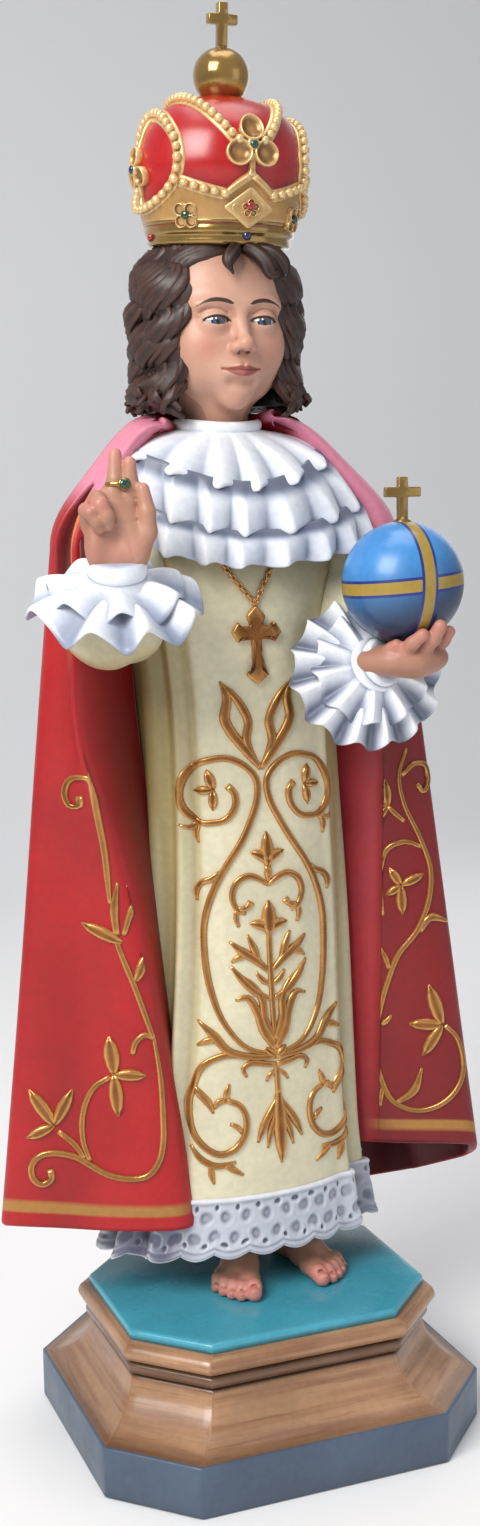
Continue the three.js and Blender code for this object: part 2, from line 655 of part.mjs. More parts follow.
function hairPoint(angle, rise) {
  const curl = 4 * Math.sin(9 * angle + 2.4 * Math.sin(rise / 15 - 3)) + 3 * Math.sin(rise / 7.5 + 3 * angle - 3);
  const opening = degToRad(curveAt(HAIR.opening, rise));
  const shown = rise > -12 ? 1 : smoothstep(Math.abs(angle), opening - 0.1, opening + 0.12);
  const wide = lerp(34, curveAt(HAIR.wide, rise) + curl, shown);
  const deep = lerp(30, curveAt(HAIR.deep, rise) + curl * 0.8, shown);
  const [x, y] = [wide * Math.sin(angle), 4 - deep * Math.cos(angle)];
  return vec(HEAD.centre.x + x, HEAD.centre.y + y, CARVED_HEIGHT + rise);
}

function hairSolid() {
  const angles = anglesRound(28);
  return loft(HAIR.levels.map((rise) => angles.map((a) => hairPoint(a, rise))));
}

// The crown's seat, tilted a little to the front
const SEAT_MIDDLE = vec(-12, 20, CARVED_HEIGHT);

function aboveSeat() {
  const box = new THREE.BoxGeometry(300, 300, 200).translate(0, 0, 100);
  return solid(box.rotateX(CROWN_TILT).translate(SEAT_MIDDLE.x, SEAT_MIDDLE.y, SEAT_MIDDLE.z));
}

// Bare feet under the hem. Toes are given across and ahead of the heel, the big toe first.
const FEET = [
  { heel: [-4, 26], bearing: -22, side: 1 },
  { heel: [44, 32], bearing: 10, side: -1 },
];
const TOES = [
  { across: -13, ahead: 79, radius: 7.6 },
  { across: -2, ahead: 79, radius: 5.4 },
  { across: 6.5, ahead: 75, radius: 5.2 },
  { across: 14, ahead: 69, radius: 5 },
  { across: 20.5, ahead: 61, radius: 4.8 },
];

function footSolid({ heel, bearing, side }) {
  const turn = degToRad(bearing);
  const place = (across, ahead, up) =>
    vec(
      heel[0] + ahead * Math.sin(turn) - side * across * Math.cos(turn),
      heel[1] - ahead * Math.cos(turn) - side * across * Math.sin(turn),
      up,
    );
  const spine = [place(0, -12, 10), place(0, 4, 14), place(0, 34, 14), place(3, 58, 9), place(4, 74, 6)];
  const sole = tube(spine, [[10, 11], [17, 17], [17, 17], [22, 11], [20, 7]], 8);
  const leg = tube([place(0, 6, 8), place(0, 6, 60)], [[17, 18], [16, 17]], 8, vec(0, 1, 0));
  const toes = TOES.map(({ across, ahead, radius }) =>
    ellipsoid(place(across, ahead, radius * 0.8), [radius, radius * 1.6, radius], 5, 4),
  );
  return join([sole, leg, ...toes]);
}

// The whole casting, carved in units above the slab, then brought to its size
function figureSolid() {
  const head = join([headSolid(), hairSolid()]).subtract(aboveSeat());
  const carving = join([
    gownSolid(),
    ...STROKES.flatMap((stroke) => [strokeSolid(stroke, 1), strokeSolid(stroke, -1)]),
    ...MIDDLE_STROKES.map((stroke) => strokeSolid(stroke, 1)),
    pendantSolid(),
    ...chainSolids(),
    capeSolid(),
    collarSolid(),
    armSolid(RIGHT_ARM),
    rightHandSolid(),
    join([armSolid(LEFT_ARM), leftHandSolid()]).subtract(globeRoom()),
    ...FEET.map(footSolid),
    head,
  ]);
  const sized = geometryOf(carving).scale(UNIT, UNIT, UNIT).translate(0, 0, SLAB_TOP);
  return solid(sized).add(slabSolid());
}

function globeSolid() {
  const ball = ellipsoid(vec(0, 0, 0), [GLOBE_RADIUS, GLOBE_RADIUS, GLOBE_RADIUS], 18, 12);
  const sink = 4;
  const cross = crossSolid(GLOBE_CROSS_HEIGHT + sink, GLOBE_CROSS_SPAN, GLOBE_CROSS_BAR);
  return ball.add(cross.translate([0, 0, GLOBE_RADIUS - sink]));
}

// Crown, above its rim's underside: [height, radius] of its skin
const crownProfile = [
  [0, CROWN_RIM_RADIUS],
  [CROWN_BAND_HEIGHT, CROWN_RIM_RADIUS + 7],
  [CROWN_HEIGHT * 0.4, CROWN_DOME_RADIUS - 3],
  [CROWN_HEIGHT * 0.54, CROWN_DOME_RADIUS],
  [CROWN_HEIGHT * 0.75, CROWN_DOME_RADIUS * 0.87],
  [CROWN_HEIGHT * 0.9, CROWN_DOME_RADIUS * 0.62],
  [CROWN_HEIGHT, CROWN_DOME_RADIUS * 0.25],
];

// Point of the crown's skin at an angle from the front towards +X
function crownPoint(angle, z, proud = 0) {
  const r = curveAt(crownProfile, z) + proud;
  return vec(r * Math.sin(angle), -r * Math.cos(angle), z);
}

function crownShell() {
  const lip = [[0, 0], [0, 2], [4, 3], [10, 2], [12, 0]];
  const dome = [0.24, 0.4, 0.54, 0.68, 0.8, 0.9, 1].map((s) => CROWN_HEIGHT * s);
  const outline = [
    new THREE.Vector2(0, 0),
    ...lip.slice(1).map(([z, proud]) => new THREE.Vector2(curveAt(crownProfile, z) + proud, z)),
    ...dome.map((z) => new THREE.Vector2(curveAt(crownProfile, z), z)),
    new THREE.Vector2(0, CROWN_HEIGHT),
  ];
  return solid(new THREE.LatheGeometry(outline, 20).rotateX(Math.PI / 2));
}

const BEAD_SIDES = 4;
const outwards = (p) => vec(p.x, p.y, 12).normalize();

// A string of beads along points, kept as one roll
function beadString(points) {
  const radii = points.map(() => [BEAD_RADIUS, BEAD_RADIUS]);
  return tube(points, radii, BEAD_SIDES, (i) => outwards(points[i]));
}

// The ring of beads on each side of the crown
const SIDE_LOOP = { halfAngle: degToRad(42), middle: CROWN_HEIGHT * 0.56, half: CROWN_HEIGHT * 0.32 };
function sideLoop(facing) {
  const points = anglesRound(14).map((t) => {
    const z = SIDE_LOOP.middle + SIDE_LOOP.half * Math.sin(t);
    return crownPoint(facing + SIDE_LOOP.halfAngle * Math.cos(t), z, 1);
  });
  const closed = [points.at(-1), ...points, points[0]];
  const radii = closed.map(() => [BEAD_RADIUS, BEAD_RADIUS]);
  return hoop(tubeSections(closed, radii, BEAD_SIDES, (i) => outwards(closed[i])).slice(1, -1));
}

// The arch of beads over the cap, on one side of the ball, from the front flower to the back one
const FLOWER_HEIGHT = CROWN_HEIGHT * 0.65;
const ARCH_OFFSET = CROWN_DOME_RADIUS * 0.54;
function archOver(side) {
  const steps = 8;
  const foot = curveAt(crownProfile, FLOWER_HEIGHT);
  const points = range(steps + 1).map((i) => {
    const turn = lerp(-Math.PI / 2, Math.PI / 2, i / steps);
    const [x, y] = [side * ARCH_OFFSET * Math.cos(turn) ** 0.8, foot * Math.sin(turn)];
    const height = range(60).map((k) => lerp(FLOWER_HEIGHT, CROWN_HEIGHT, k / 59));
    const z = height.find((h) => curveAt(crownProfile, h) <= Math.hypot(x, y)) ?? CROWN_HEIGHT;
    return crownPoint(Math.atan2(x, -y), z, 1);
  });
  return beadString(points);
}

// A short round boss that carries a stone
function boss(at, radius, height, depth) {
  const outward = vec(at.x, at.y, 0).normalize();
  const geometry = new THREE.CylinderGeometry(radius, radius, height + depth, 5);
  const turn = new THREE.Quaternion().setFromUnitVectors(vec(0, 1, 0), outward);
  const middle = at.clone().addScaledVector(outward, (height - depth) / 2);
  return solid(geometry.applyQuaternion(turn).translate(middle.x, middle.y, middle.z));
}

// Flower of three petals, raised on the cap
const PETAL_REACH = 20;
function trefoil(angle, z) {
  const outline = anglesRound(12).map((t) => {
    const reach = PETAL_REACH * (0.42 + 0.58 * Math.abs(Math.cos(1.5 * (t - Math.PI / 2))) ** 0.7);
    return [reach * Math.cos(t), reach * Math.sin(t)];
  });
  const at = crownPoint(angle, z, 1);
  return plate(outline, 7).rotate([0, 0, THREE.MathUtils.radToDeg(angle)]).translate([at.x, at.y, at.z]);
}

// Lozenge on the band with a ridge running up from it to the flower
function plaque(angle) {
  const [half, low, high] = [17, 8, 46];
  const middle = (low + high) / 2;
  const corner = (side, z) => crownPoint(angle + (side * half) / CROWN_DOME_RADIUS, z, 3.5);
  const face = [corner(-1, middle), crownPoint(angle, low, 5), corner(1, middle), crownPoint(angle, high, 3)];
  const back = face.map((p) => vec(p.x * 0.8, p.y * 0.8, p.z));
  const heights = [high - 6, 60, FLOWER_HEIGHT];
  const ridge = heights.map((z) => crownPoint(angle, z, 1));
  return loft([back, face]).add(tube(ridge, [[5, 4], [3, 3], [3, 3]], 4, vec(Math.sin(angle), -Math.cos(angle), 0)));
}

// Beads along the cap's lower edge, from a plaque to the side ring
function edgeBeads(facing, side) {
  const points = range(4).map((i) => {
    const s = i / 3;
    return crownPoint(facing + side * lerp(degToRad(12), degToRad(54), s), lerp(35, 48, s * s), 1);
  });
  return beadString(points);
}

// Stones: where each sits on the crown and its colour
const QUARTER = Math.PI / 2;
const STONES = [
  ...[0, 2].map((k) => ({ angle: k * QUARTER, z: FLOWER_HEIGHT, proud: 7, look: GREEN_STONE })),
  ...[1, 3].map((k) => ({ angle: k * QUARTER, z: SIDE_LOOP.middle - 6, proud: 7, look: BLUE_STONE })),
  ...[0, 2].map((k) => ({ angle: k * QUARTER, z: 27, proud: 5, look: RED_STONE })),
  ...[0, 1, 2, 3].map((k) => ({ angle: (k + 0.5) * QUARTER, z: 20, proud: 4, look: GREEN_STONE })),
  ...[0, 2].map((k) => ({ angle: k * QUARTER + 0.02, z: 5, proud: 4.5, look: BLUE_STONE })),
  ...[1, 3].map((k) => ({ angle: k * QUARTER, z: 5, proud: 4.5, look: RED_STONE })),
];

// Round stone with a flat back, its axis out of the crown
function stoneSolid({ angle, z, proud }) {
  const at = crownPoint(angle, z, proud + SEAT_GAP);
  const outward = vec(at.x, at.y, 0).normalize();
  const outline = [[0, 0], [1, 0], [0.6, 1], [0, 1]];
  const profile = outline.map(([r, h]) => new THREE.Vector2(r * STONE_RADIUS, h * STONE_DEPTH));
  const turn = new THREE.Quaternion().setFromUnitVectors(vec(0, 1, 0), outward);
  return solid(new THREE.LatheGeometry(profile, 5).applyQuaternion(turn).translate(at.x, at.y, at.z));
}

function crownSolid() {
  const ball = ellipsoid(vec(0, 0, CROWN_HEIGHT + BALL_RADIUS * 0.7), [BALL_RADIUS, BALL_RADIUS, BALL_RADIUS], 12, 7);
  const cross = crossSolid(CROWN_CROSS_HEIGHT, CROWN_CROSS_SPAN, CROWN_CROSS_BAR);
  return join([
    crownShell(),
    ball,
    cross.translate([0, 0, CROWN_HEIGHT + BALL_RADIUS * 1.7 - 2]),
    ...[1, -1].flatMap((side) => [sideLoop(side * QUARTER), archOver(side)]),
    ...[0, Math.PI].flatMap((a) => [plaque(a), trefoil(a, FLOWER_HEIGHT), edgeBeads(a, 1), edgeBeads(a, -1)]),
    ...[1, -1].map((side) => trefoil(side * QUARTER, SIDE_LOOP.middle - 6)),
    ...STONES.map(({ angle, z, proud }) => boss(crownPoint(angle, z), STONE_RADIUS + 1, proud, 4)),
  ]);
}

function addMesh(group, name, manifold, colour) {
  const mesh = new THREE.Mesh(geometryOf(manifold), new THREE.MeshStandardMaterial(colour));
  mesh.name = name;
  group.add(mesh);
  return mesh;
}

const statue = new THREE.Group();
addMesh(statue, "plinth", plinthSolid(), PLINTH_COLOUR);
addMesh(statue, "figure", figureSolid(), FIGURE_COLOUR);

const globe = addMesh(statue, "globe", globeSolid(), GLOBE_COLOUR);
globe.position.copy(globeCentre).multiplyScalar(UNIT).add(vec(0, 0, SLAB_TOP));

const crown = new THREE.Group();
addMesh(crown, "crown", crownSolid(), CROWN_COLOUR);
STONES.forEach((stone, k) => addMesh(crown, `stone_${k + 1}`, stoneSolid(stone), stone.look));
crown.rotation.x = CROWN_TILT;
crown.position
  .copy(SEAT_MIDDLE)
  .multiplyScalar(UNIT)
  .add(vec(0, 0, SLAB_TOP))
  .add(vec(0, -Math.sin(CROWN_TILT), Math.cos(CROWN_TILT)).multiplyScalar(SEAT_GAP));
statue.add(crown);

export default statue;
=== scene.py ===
import math

import bpy
import numpy as np
import openvdb
from mathutils import Matrix, Vector


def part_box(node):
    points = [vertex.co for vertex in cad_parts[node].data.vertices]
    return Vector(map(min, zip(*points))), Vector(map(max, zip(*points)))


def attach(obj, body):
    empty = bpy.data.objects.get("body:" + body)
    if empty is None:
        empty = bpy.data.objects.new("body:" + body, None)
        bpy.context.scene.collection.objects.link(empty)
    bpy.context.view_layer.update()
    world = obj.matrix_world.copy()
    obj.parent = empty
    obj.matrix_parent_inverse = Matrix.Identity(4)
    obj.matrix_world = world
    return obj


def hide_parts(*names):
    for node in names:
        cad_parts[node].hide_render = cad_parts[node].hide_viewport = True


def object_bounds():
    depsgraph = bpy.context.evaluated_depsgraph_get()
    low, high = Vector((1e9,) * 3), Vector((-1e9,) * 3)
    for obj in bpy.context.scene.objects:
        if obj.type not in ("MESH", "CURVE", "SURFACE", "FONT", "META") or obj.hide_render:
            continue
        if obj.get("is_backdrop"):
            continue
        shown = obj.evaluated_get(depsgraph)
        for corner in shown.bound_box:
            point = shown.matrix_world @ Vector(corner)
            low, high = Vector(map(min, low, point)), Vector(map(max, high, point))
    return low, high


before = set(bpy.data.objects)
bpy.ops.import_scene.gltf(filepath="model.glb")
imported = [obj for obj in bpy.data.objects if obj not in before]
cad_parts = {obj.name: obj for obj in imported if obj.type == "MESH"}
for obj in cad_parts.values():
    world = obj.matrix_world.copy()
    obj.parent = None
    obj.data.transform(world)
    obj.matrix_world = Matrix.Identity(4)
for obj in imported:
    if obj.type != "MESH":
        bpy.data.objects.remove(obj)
cad_box = [list(corner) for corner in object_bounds()]

PI = math.pi
TURN = 2 * math.pi
METRES = 0.001
SLAB_BOTTOM, SLAB_TOP = 115.3, 123.3


# Shapes
def lerp(a, b, t):
    return a + (b - a) * t


def smooth(x, low, high):
    t = np.clip((np.asarray(x, float) - low) / (high - low), 0, 1)
    return t * t * (3 - 2 * t)


def between(x, low, start, finish, high):
    """One from start to finish, falling smoothly to nothing at low and high."""
    return smooth(x, low, start) * (1 - smooth(x, finish, high))


def hump(x, centre, width):
    """A bell of height one."""
    return np.exp(-(((x - centre) / width) ** 2))


def circle(count):
    """Evenly spaced angles once round."""
    return np.arange(count) * TURN / count


def curve_at(stops, x):
    """Smooth curve through (position, value) stops."""
    xs, ys = np.array(stops, float).T
    slopes = np.gradient(ys)
    slopes[1:-1] = (ys[2:] - ys[:-2]) / (xs[2:] - xs[:-2])
    slopes[0] = (ys[1] - ys[0]) / (xs[1] - xs[0])
    slopes[-1] = (ys[-1] - ys[-2]) / (xs[-1] - xs[-2])
    x = np.asarray(x, float)
    i = np.clip(np.searchsorted(xs, x, side="right") - 1, 0, len(xs) - 2)
    span = xs[i + 1] - xs[i]
    t = np.clip((x - xs[i]) / span, 0, 1)
    m, n = slopes[i] * span, slopes[i + 1] * span
    return (
        (2 * t**3 - 3 * t**2 + 1) * ys[i]
        + (t**3 - 2 * t**2 + t) * m
        + (3 * t**2 - 2 * t**3) * ys[i + 1]
        + (t**3 - t**2) * n
    )


def spline(points, t):
    """Point of a centripetal curve through points, at a share t of their number."""
    p = np.array(points, float)
    p = np.vstack([2 * p[0] - p[1], p, 2 * p[-1] - p[-2]])
    s = np.clip(np.asarray(t, float), 0, 1) * (len(points) - 1)
    i = np.clip(np.floor(s).astype(int), 0, len(points) - 2)
    w = (s - i)[..., None]
    p0, p1, p2, p3 = p[i], p[i + 1], p[i + 2], p[i + 3]
    d0, d1, d2 = (
        np.maximum(np.linalg.norm(b - a, axis=-1, keepdims=True), 1e-4) ** 0.5
        for a, b in ((p0, p1), (p1, p2), (p2, p3))
    )
    m = ((p1 - p0) / d0 - (p2 - p0) / (d0 + d1) + (p2 - p1) / d1) * d1
    n = ((p2 - p1) / d1 - (p3 - p1) / (d1 + d2) + (p3 - p2) / d2) * d1
    return p1 + m * w + (-3 * p1 + 3 * p2 - 2 * m - n) * w**2 + (2 * p1 - 2 * p2 + m + n) * w**3


def lengths(points):
    """How far along a line of points each one is."""
    return np.concatenate([[0], np.cumsum(np.linalg.norm(np.diff(points, axis=0), axis=1))])


def evenly(points, step, least):
    """Places about a step apart on a line of points, and how far along it each one is."""
    along = lengths(points)
    even = np.linspace(0, along[-1], max(int(round(along[-1] / step)), least) + 1)
    return np.stack([np.interp(even, along, column) for column in points.T], 1), even


def path_points(points, step):
    """A curve through points, as places about a step apart."""
    return evenly(spline(points, np.linspace(0, 1, 60 * len(points))), step, 4)[0]


def alike(*values):
    """Numbers or arrays as arrays of one shape."""
    return np.broadcast_arrays(*(np.asarray(value, float) for value in values))


def unit(v):
    return v / np.maximum(np.linalg.norm(v, axis=-1, keepdims=True), 1e-9)


def volume(points, faces):
    points, total = points - points.mean(0), 0.0
    for f in faces:
        for i in range(1, f.shape[1] - 1):
            turned = np.cross(points[f[:, i]], points[f[:, i + 1]])
            total += np.einsum("ij,ij->", points[f[:, 0]], turned)
    return total


def edge_rows(start, finish, before, steps):
    """Rows that turn round a sheet's edge from one of its faces to the other."""
    middle, half = (start + finish) / 2, (start - finish) / 2
    out = unit(start - before) * np.linalg.norm(half, axis=-1, keepdims=True)
    return [middle + half * math.cos(t) + out * math.sin(t) for t in np.linspace(0, PI, steps + 2)[1:-1]]


def net(rows, cols, around=True, joined=False):
    """Numbers for rows of points and the faces between them. around joins each row's ends, and joined the
    last row to the first."""
    index = np.arange(rows * cols).reshape(rows, cols)
    wide = np.hstack([index, index[:, :1]]) if around else index
    wide = np.vstack([wide, wide[:1]]) if joined else wide
    quads = np.stack([wide[:-1, :-1], wide[:-1, 1:], wide[1:, 1:], wide[1:, :-1]], -1)
    return index, quads.reshape(-1, 4)


def capped(rings, low, high):
    """Points and faces of rings of points, closed by a pole at each end."""
    rows, around = rings.shape[:2]
    index, quads = net(rows, around)
    after = np.roll(index, -1, 1)
    bottom = np.stack([index[0], np.full(around, rows * around), after[0]], -1)
    top = np.stack([index[-1], after[-1], np.full(around, rows * around + 1)], -1)
    return np.vstack([rings.reshape(-1, 3), low, high]), [quads, bottom, top]


class Shape:
    """Faces gathered for one piece, with a number for each named mask at every point."""

    def __init__(self):
        self.points, self.faces, self.masks, self.count = [], [], {}, 0

    def add(self, points, faces, **masks):
        """Adds one closed body, turned to face outwards."""
        points = np.asarray(points, float).reshape(-1, 3)
        if volume(points, faces) < 0:
            faces = [f[:, ::-1] for f in faces]
        for name in set(self.masks) | set(masks):
            before = self.masks.setdefault(name, [np.zeros(self.count)])
            values = np.asarray(masks.get(name, 0.0), float).reshape(-1)
            before.append(np.broadcast_to(values, (len(points),)))
        self.points.append(points)
        self.faces += [np.asarray(f, int) + self.count for f in faces if len(f)]
        self.count += len(points)
        return self

    def grid(self, points, ends=True, **masks):
        """Rows of points that each close on themselves, with a pole in the middle of the first and last
        row."""
        rows, cols = points.shape[:2]
        if not ends:
            return self.add(points, [net(rows, cols)[1]], **masks)
        for name, values in masks.items():
            values = np.broadcast_to(np.reshape(values, -1), (rows * cols,))
            masks[name] = np.append(values, [values[0]] * 2)
        return self.add(*capped(points, points[0].mean(0), points[-1].mean(0)), **masks)

    def loop(self, points):
        """Rows of points joined round each row and from the last row to the first."""
        return self.add(points, [net(*points.shape[:2], joined=True)[1]])

    def sheet(self, outer, inner, around=False, skip=1, steps=3, inside=None, **masks):
        """A thick sheet from its two faces. The inner one has a row for each skip rows of the outer one, and
        inside gives the masks there."""
        low = edge_rows(outer[-1], inner[-1], outer[-2], steps)
        high = edge_rows(inner[0], outer[0], inner[1], steps)
        rows = np.concatenate([outer, low, inner[::-1], high])
        count, cols = rows.shape[:2]
        index, quads = net(count, cols, around, joined=True)
        faces = [quads]
        if not around:
            n, m = len(outer), len(inner)
            for col, turned in ((0, False), (cols - 1, True)):
                strips = []
                for j in range(m - 1):
                    back, ahead = n + steps + (m - 1 - j), index[j * skip : (j + 1) * skip + 1, col]
                    strips.append([*ahead, index[back - 1, col], index[back, col]])
                strips = np.array(strips)
                lower = index[n - 1 : n + steps + 1, col]
                upper = np.append(index[count - steps - 1 :, col], index[0, col])
                for f in (strips, lower[None], upper[None]):
                    faces.append(f if turned else f[:, ::-1])
        inside = inside or {}
        full = {}
        for name, values in masks.items():
            values = np.broadcast_to(values, outer.shape[:2])
            within = np.full((len(inner), cols), float(inside.get(name, 0)))
            full[name] = np.concatenate([values, [values[-1]] * steps, within, [values[0]] * steps])
        return self.add(rows, faces, **full)


def tube_rings(path, radii, sides, up, ripple=0.0):
    """Sections of a tube along a path, with six grooves of ripple's depth."""
    path = np.asarray(path, float)
    along = unit(np.gradient(path, axis=0))
    side = unit(np.cross(np.broadcast_to(np.asarray(up, float), path.shape), along))
    over = np.cross(along, side)
    angle = (np.arange(sides) + 0.5) * TURN / sides
    wave = (1 + ripple * np.cos(6 * angle))[:, None]
    size = np.asarray(radii, float)[:, None, None]
    return (
        path[:, None]
        + side[:, None] * size * np.sin(angle)[:, None] * wave
        + over[:, None] * size * np.cos(angle)[:, None] * wave
    )


def round_ends(path, radius):
    """A path with its radii, drawn in to a round end at the start and the finish."""
    path = np.asarray(path, float)
    radius = np.broadcast_to(np.asarray(radius, float), (len(path),))
    first, last = unit(path[0] - path[1]), unit(path[-1] - path[-2])
    turn = np.linspace(0, 0.97, 4)[1:] * PI / 2
    head = [path[0] + first * radius[0] * math.sin(t) for t in turn[::-1]]
    tail = [path[-1] + last * radius[-1] * math.sin(t) for t in turn]
    sizes = [radius[0] * math.cos(t) for t in turn[::-1]], [radius[-1] * math.cos(t) for t in turn]
    return np.vstack([head, path, tail]), np.concatenate([sizes[0], radius, sizes[1]])


def ball(centre, radius, around, down):
    centre, radius = np.asarray(centre, float), np.broadcast_to(np.asarray(radius, float), (3,))
    t = np.linspace(0, PI, down + 1)[1:-1, None]
    a = circle(around)[None]
    sphere = np.stack([np.sin(t) * np.cos(a), np.sin(t) * np.sin(a), -np.cos(t) + 0 * a], -1)
    pole = np.array([0, 0, radius[2]])
    return capped(centre + sphere * radius, centre - pole, centre + pole)


def lathe(profile, around):
    """Closed solid turned about z, from [radius, height] places that start and end on the axis."""
    profile = np.array(profile, float)
    inner = profile[1:-1]
    a = circle(around)
    places = [inner[:, :1] * np.sin(a), -inner[:, :1] * np.cos(a), np.repeat(inner[:, 1:], around, 1)]
    return capped(np.stack(places, -1), [0, 0, profile[0, 1]], [0, 0, profile[-1, 1]])


def rounded(corners, radius, steps):
    """A closed outline with its corners rounded."""
    corners, out = [np.array(c, float) for c in corners], []
    for i, c in enumerate(corners):
        before, after = corners[i - 1] - c, corners[(i + 1) % len(corners)] - c
        r = min(radius, 0.45 * np.linalg.norm(before), 0.45 * np.linalg.norm(after))
        a, b = c + unit(before) * r, c + unit(after) * r
        for t in np.linspace(0, 1, steps):
            out.append((1 - t) ** 2 * a + 2 * t * (1 - t) * c + t**2 * b)
    return np.array(out)


def outward_of(outline):
    """Directions that point out of an outline that runs anticlockwise."""
    way = unit(unit(np.roll(outline, -1, 0) - outline) + unit(outline - np.roll(outline, 1, 0)))
    return np.stack([way[:, 1], -way[:, 0]], 1)


def slab_of(outline, thickness, bevel):
    """Bevelled plate of an outline in the X-Z plane, its face at -y."""
    eased = [(bevel, 0), (0.3 * bevel, 0.3 * bevel), (0, bevel)]
    levels = [(inset, rise - thickness / 2) for inset, rise in eased]
    levels += [(inset, thickness / 2 - rise) for inset, rise in eased[::-1]]
    sections = []
    for inset, y in levels:
        flat = outline - outward_of(outline) * inset
        sections.append(np.stack([flat[:, 0], np.full(len(flat), y), flat[:, 1]], -1))
    index, quads = net(len(levels), len(outline))
    return np.array(sections), [quads, index[0][::-1][None], index[-1][None]]


def field_mesh(low, high, step, field, fine=None):
    """Surface where a field of distances is zero. fine gives each axis a (start, end) to keep the step in,
    and the coarser step elsewhere."""
    axes = []
    for k in range(3):
        start, end, coarse = fine[k] if fine else (low[k], high[k], step)
        before = np.arange(start - coarse, low[k] - coarse, -coarse)[::-1]
        middle = np.arange(start, end, step)
        axes.append(np.concatenate([before, middle, np.arange(middle[-1] + step, high[k] + coarse, coarse)]))
    count = [len(line) for line in axes]
    x, y, z = np.meshgrid(*axes, indexing="ij", sparse=True)
    values = (field(x, y, z) + np.zeros(count)).astype(np.float32)
    grid = openvdb.FloatGrid(3.0 * step)
    grid.copyFromArray(np.clip(values, -3 * step, 3 * step))
    points, tris, quads = grid.convertToPolygons(0.0, 0.0)
    points = np.stack([np.interp(points[:, k], np.arange(count[k]), axes[k]) for k in range(3)], 1)
    return points, [tris[:, ::-1], quads[:, ::-1]]


def near(a, b, k):
    """Smooth union of two fields."""
    h = np.clip(0.5 + 0.5 * (b - a) / k, 0, 1)
    return lerp(b, a, h) - k * h * (1 - h)


def without(a, b, k):
    """A field with another smoothly taken out of it."""
    return -near(-a, b, k)


def oval(p, centre, radii):
    q = [(p[k] - centre[k]) / radii[k] for k in range(3)]
    return (np.sqrt(q[0] ** 2 + q[1] ** 2 + q[2] ** 2) - 1) * min(radii)


def rod(p, a, b, ra, rb):
    a, b = np.array(a, float), np.array(b, float)
    ab = b - a
    h = sum((p[k] - a[k]) * ab[k] for k in range(3)) / np.dot(ab, ab)
    h = np.clip(h, 0, 1)
    d = [p[k] - a[k] - ab[k] * h for k in range(3)]
    return np.sqrt(d[0] ** 2 + d[1] ** 2 + d[2] ** 2) - lerp(ra, rb, h)


def chain(p, joints, radii, k=2.2):
    """Rods from joint to joint, melted into one."""
    d = rod(p, *joints[:2], *radii[:2])
    for n in range(1, len(joints) - 1):
        d = near(d, rod(p, *joints[n : n + 2], *radii[n : n + 2]), k)
    return d


def relax(points, faces, amount):
    """Evens out a mesh's points between their neighbours."""
    pairs = np.vstack([np.stack([f, np.roll(f, -1, 1)], -1).transpose(1, 0, 2).reshape(-1, 2) for f in faces])
    pairs = np.vstack([pairs, pairs[:, ::-1]])
    number = np.bincount(pairs[:, 0], minlength=len(points))[:, None]
    for _ in range(2):
        total = np.stack([np.bincount(pairs[:, 0], points[pairs[:, 1], k], len(points)) for k in range(3)], 1)
        points = lerp(points, total / number, amount)
    return points


# Materials
def linear(rgb):
    return [((c / 255 + 0.055) / 1.055) ** 2.4 if c > 10 else c / 255 / 12.92 for c in rgb]


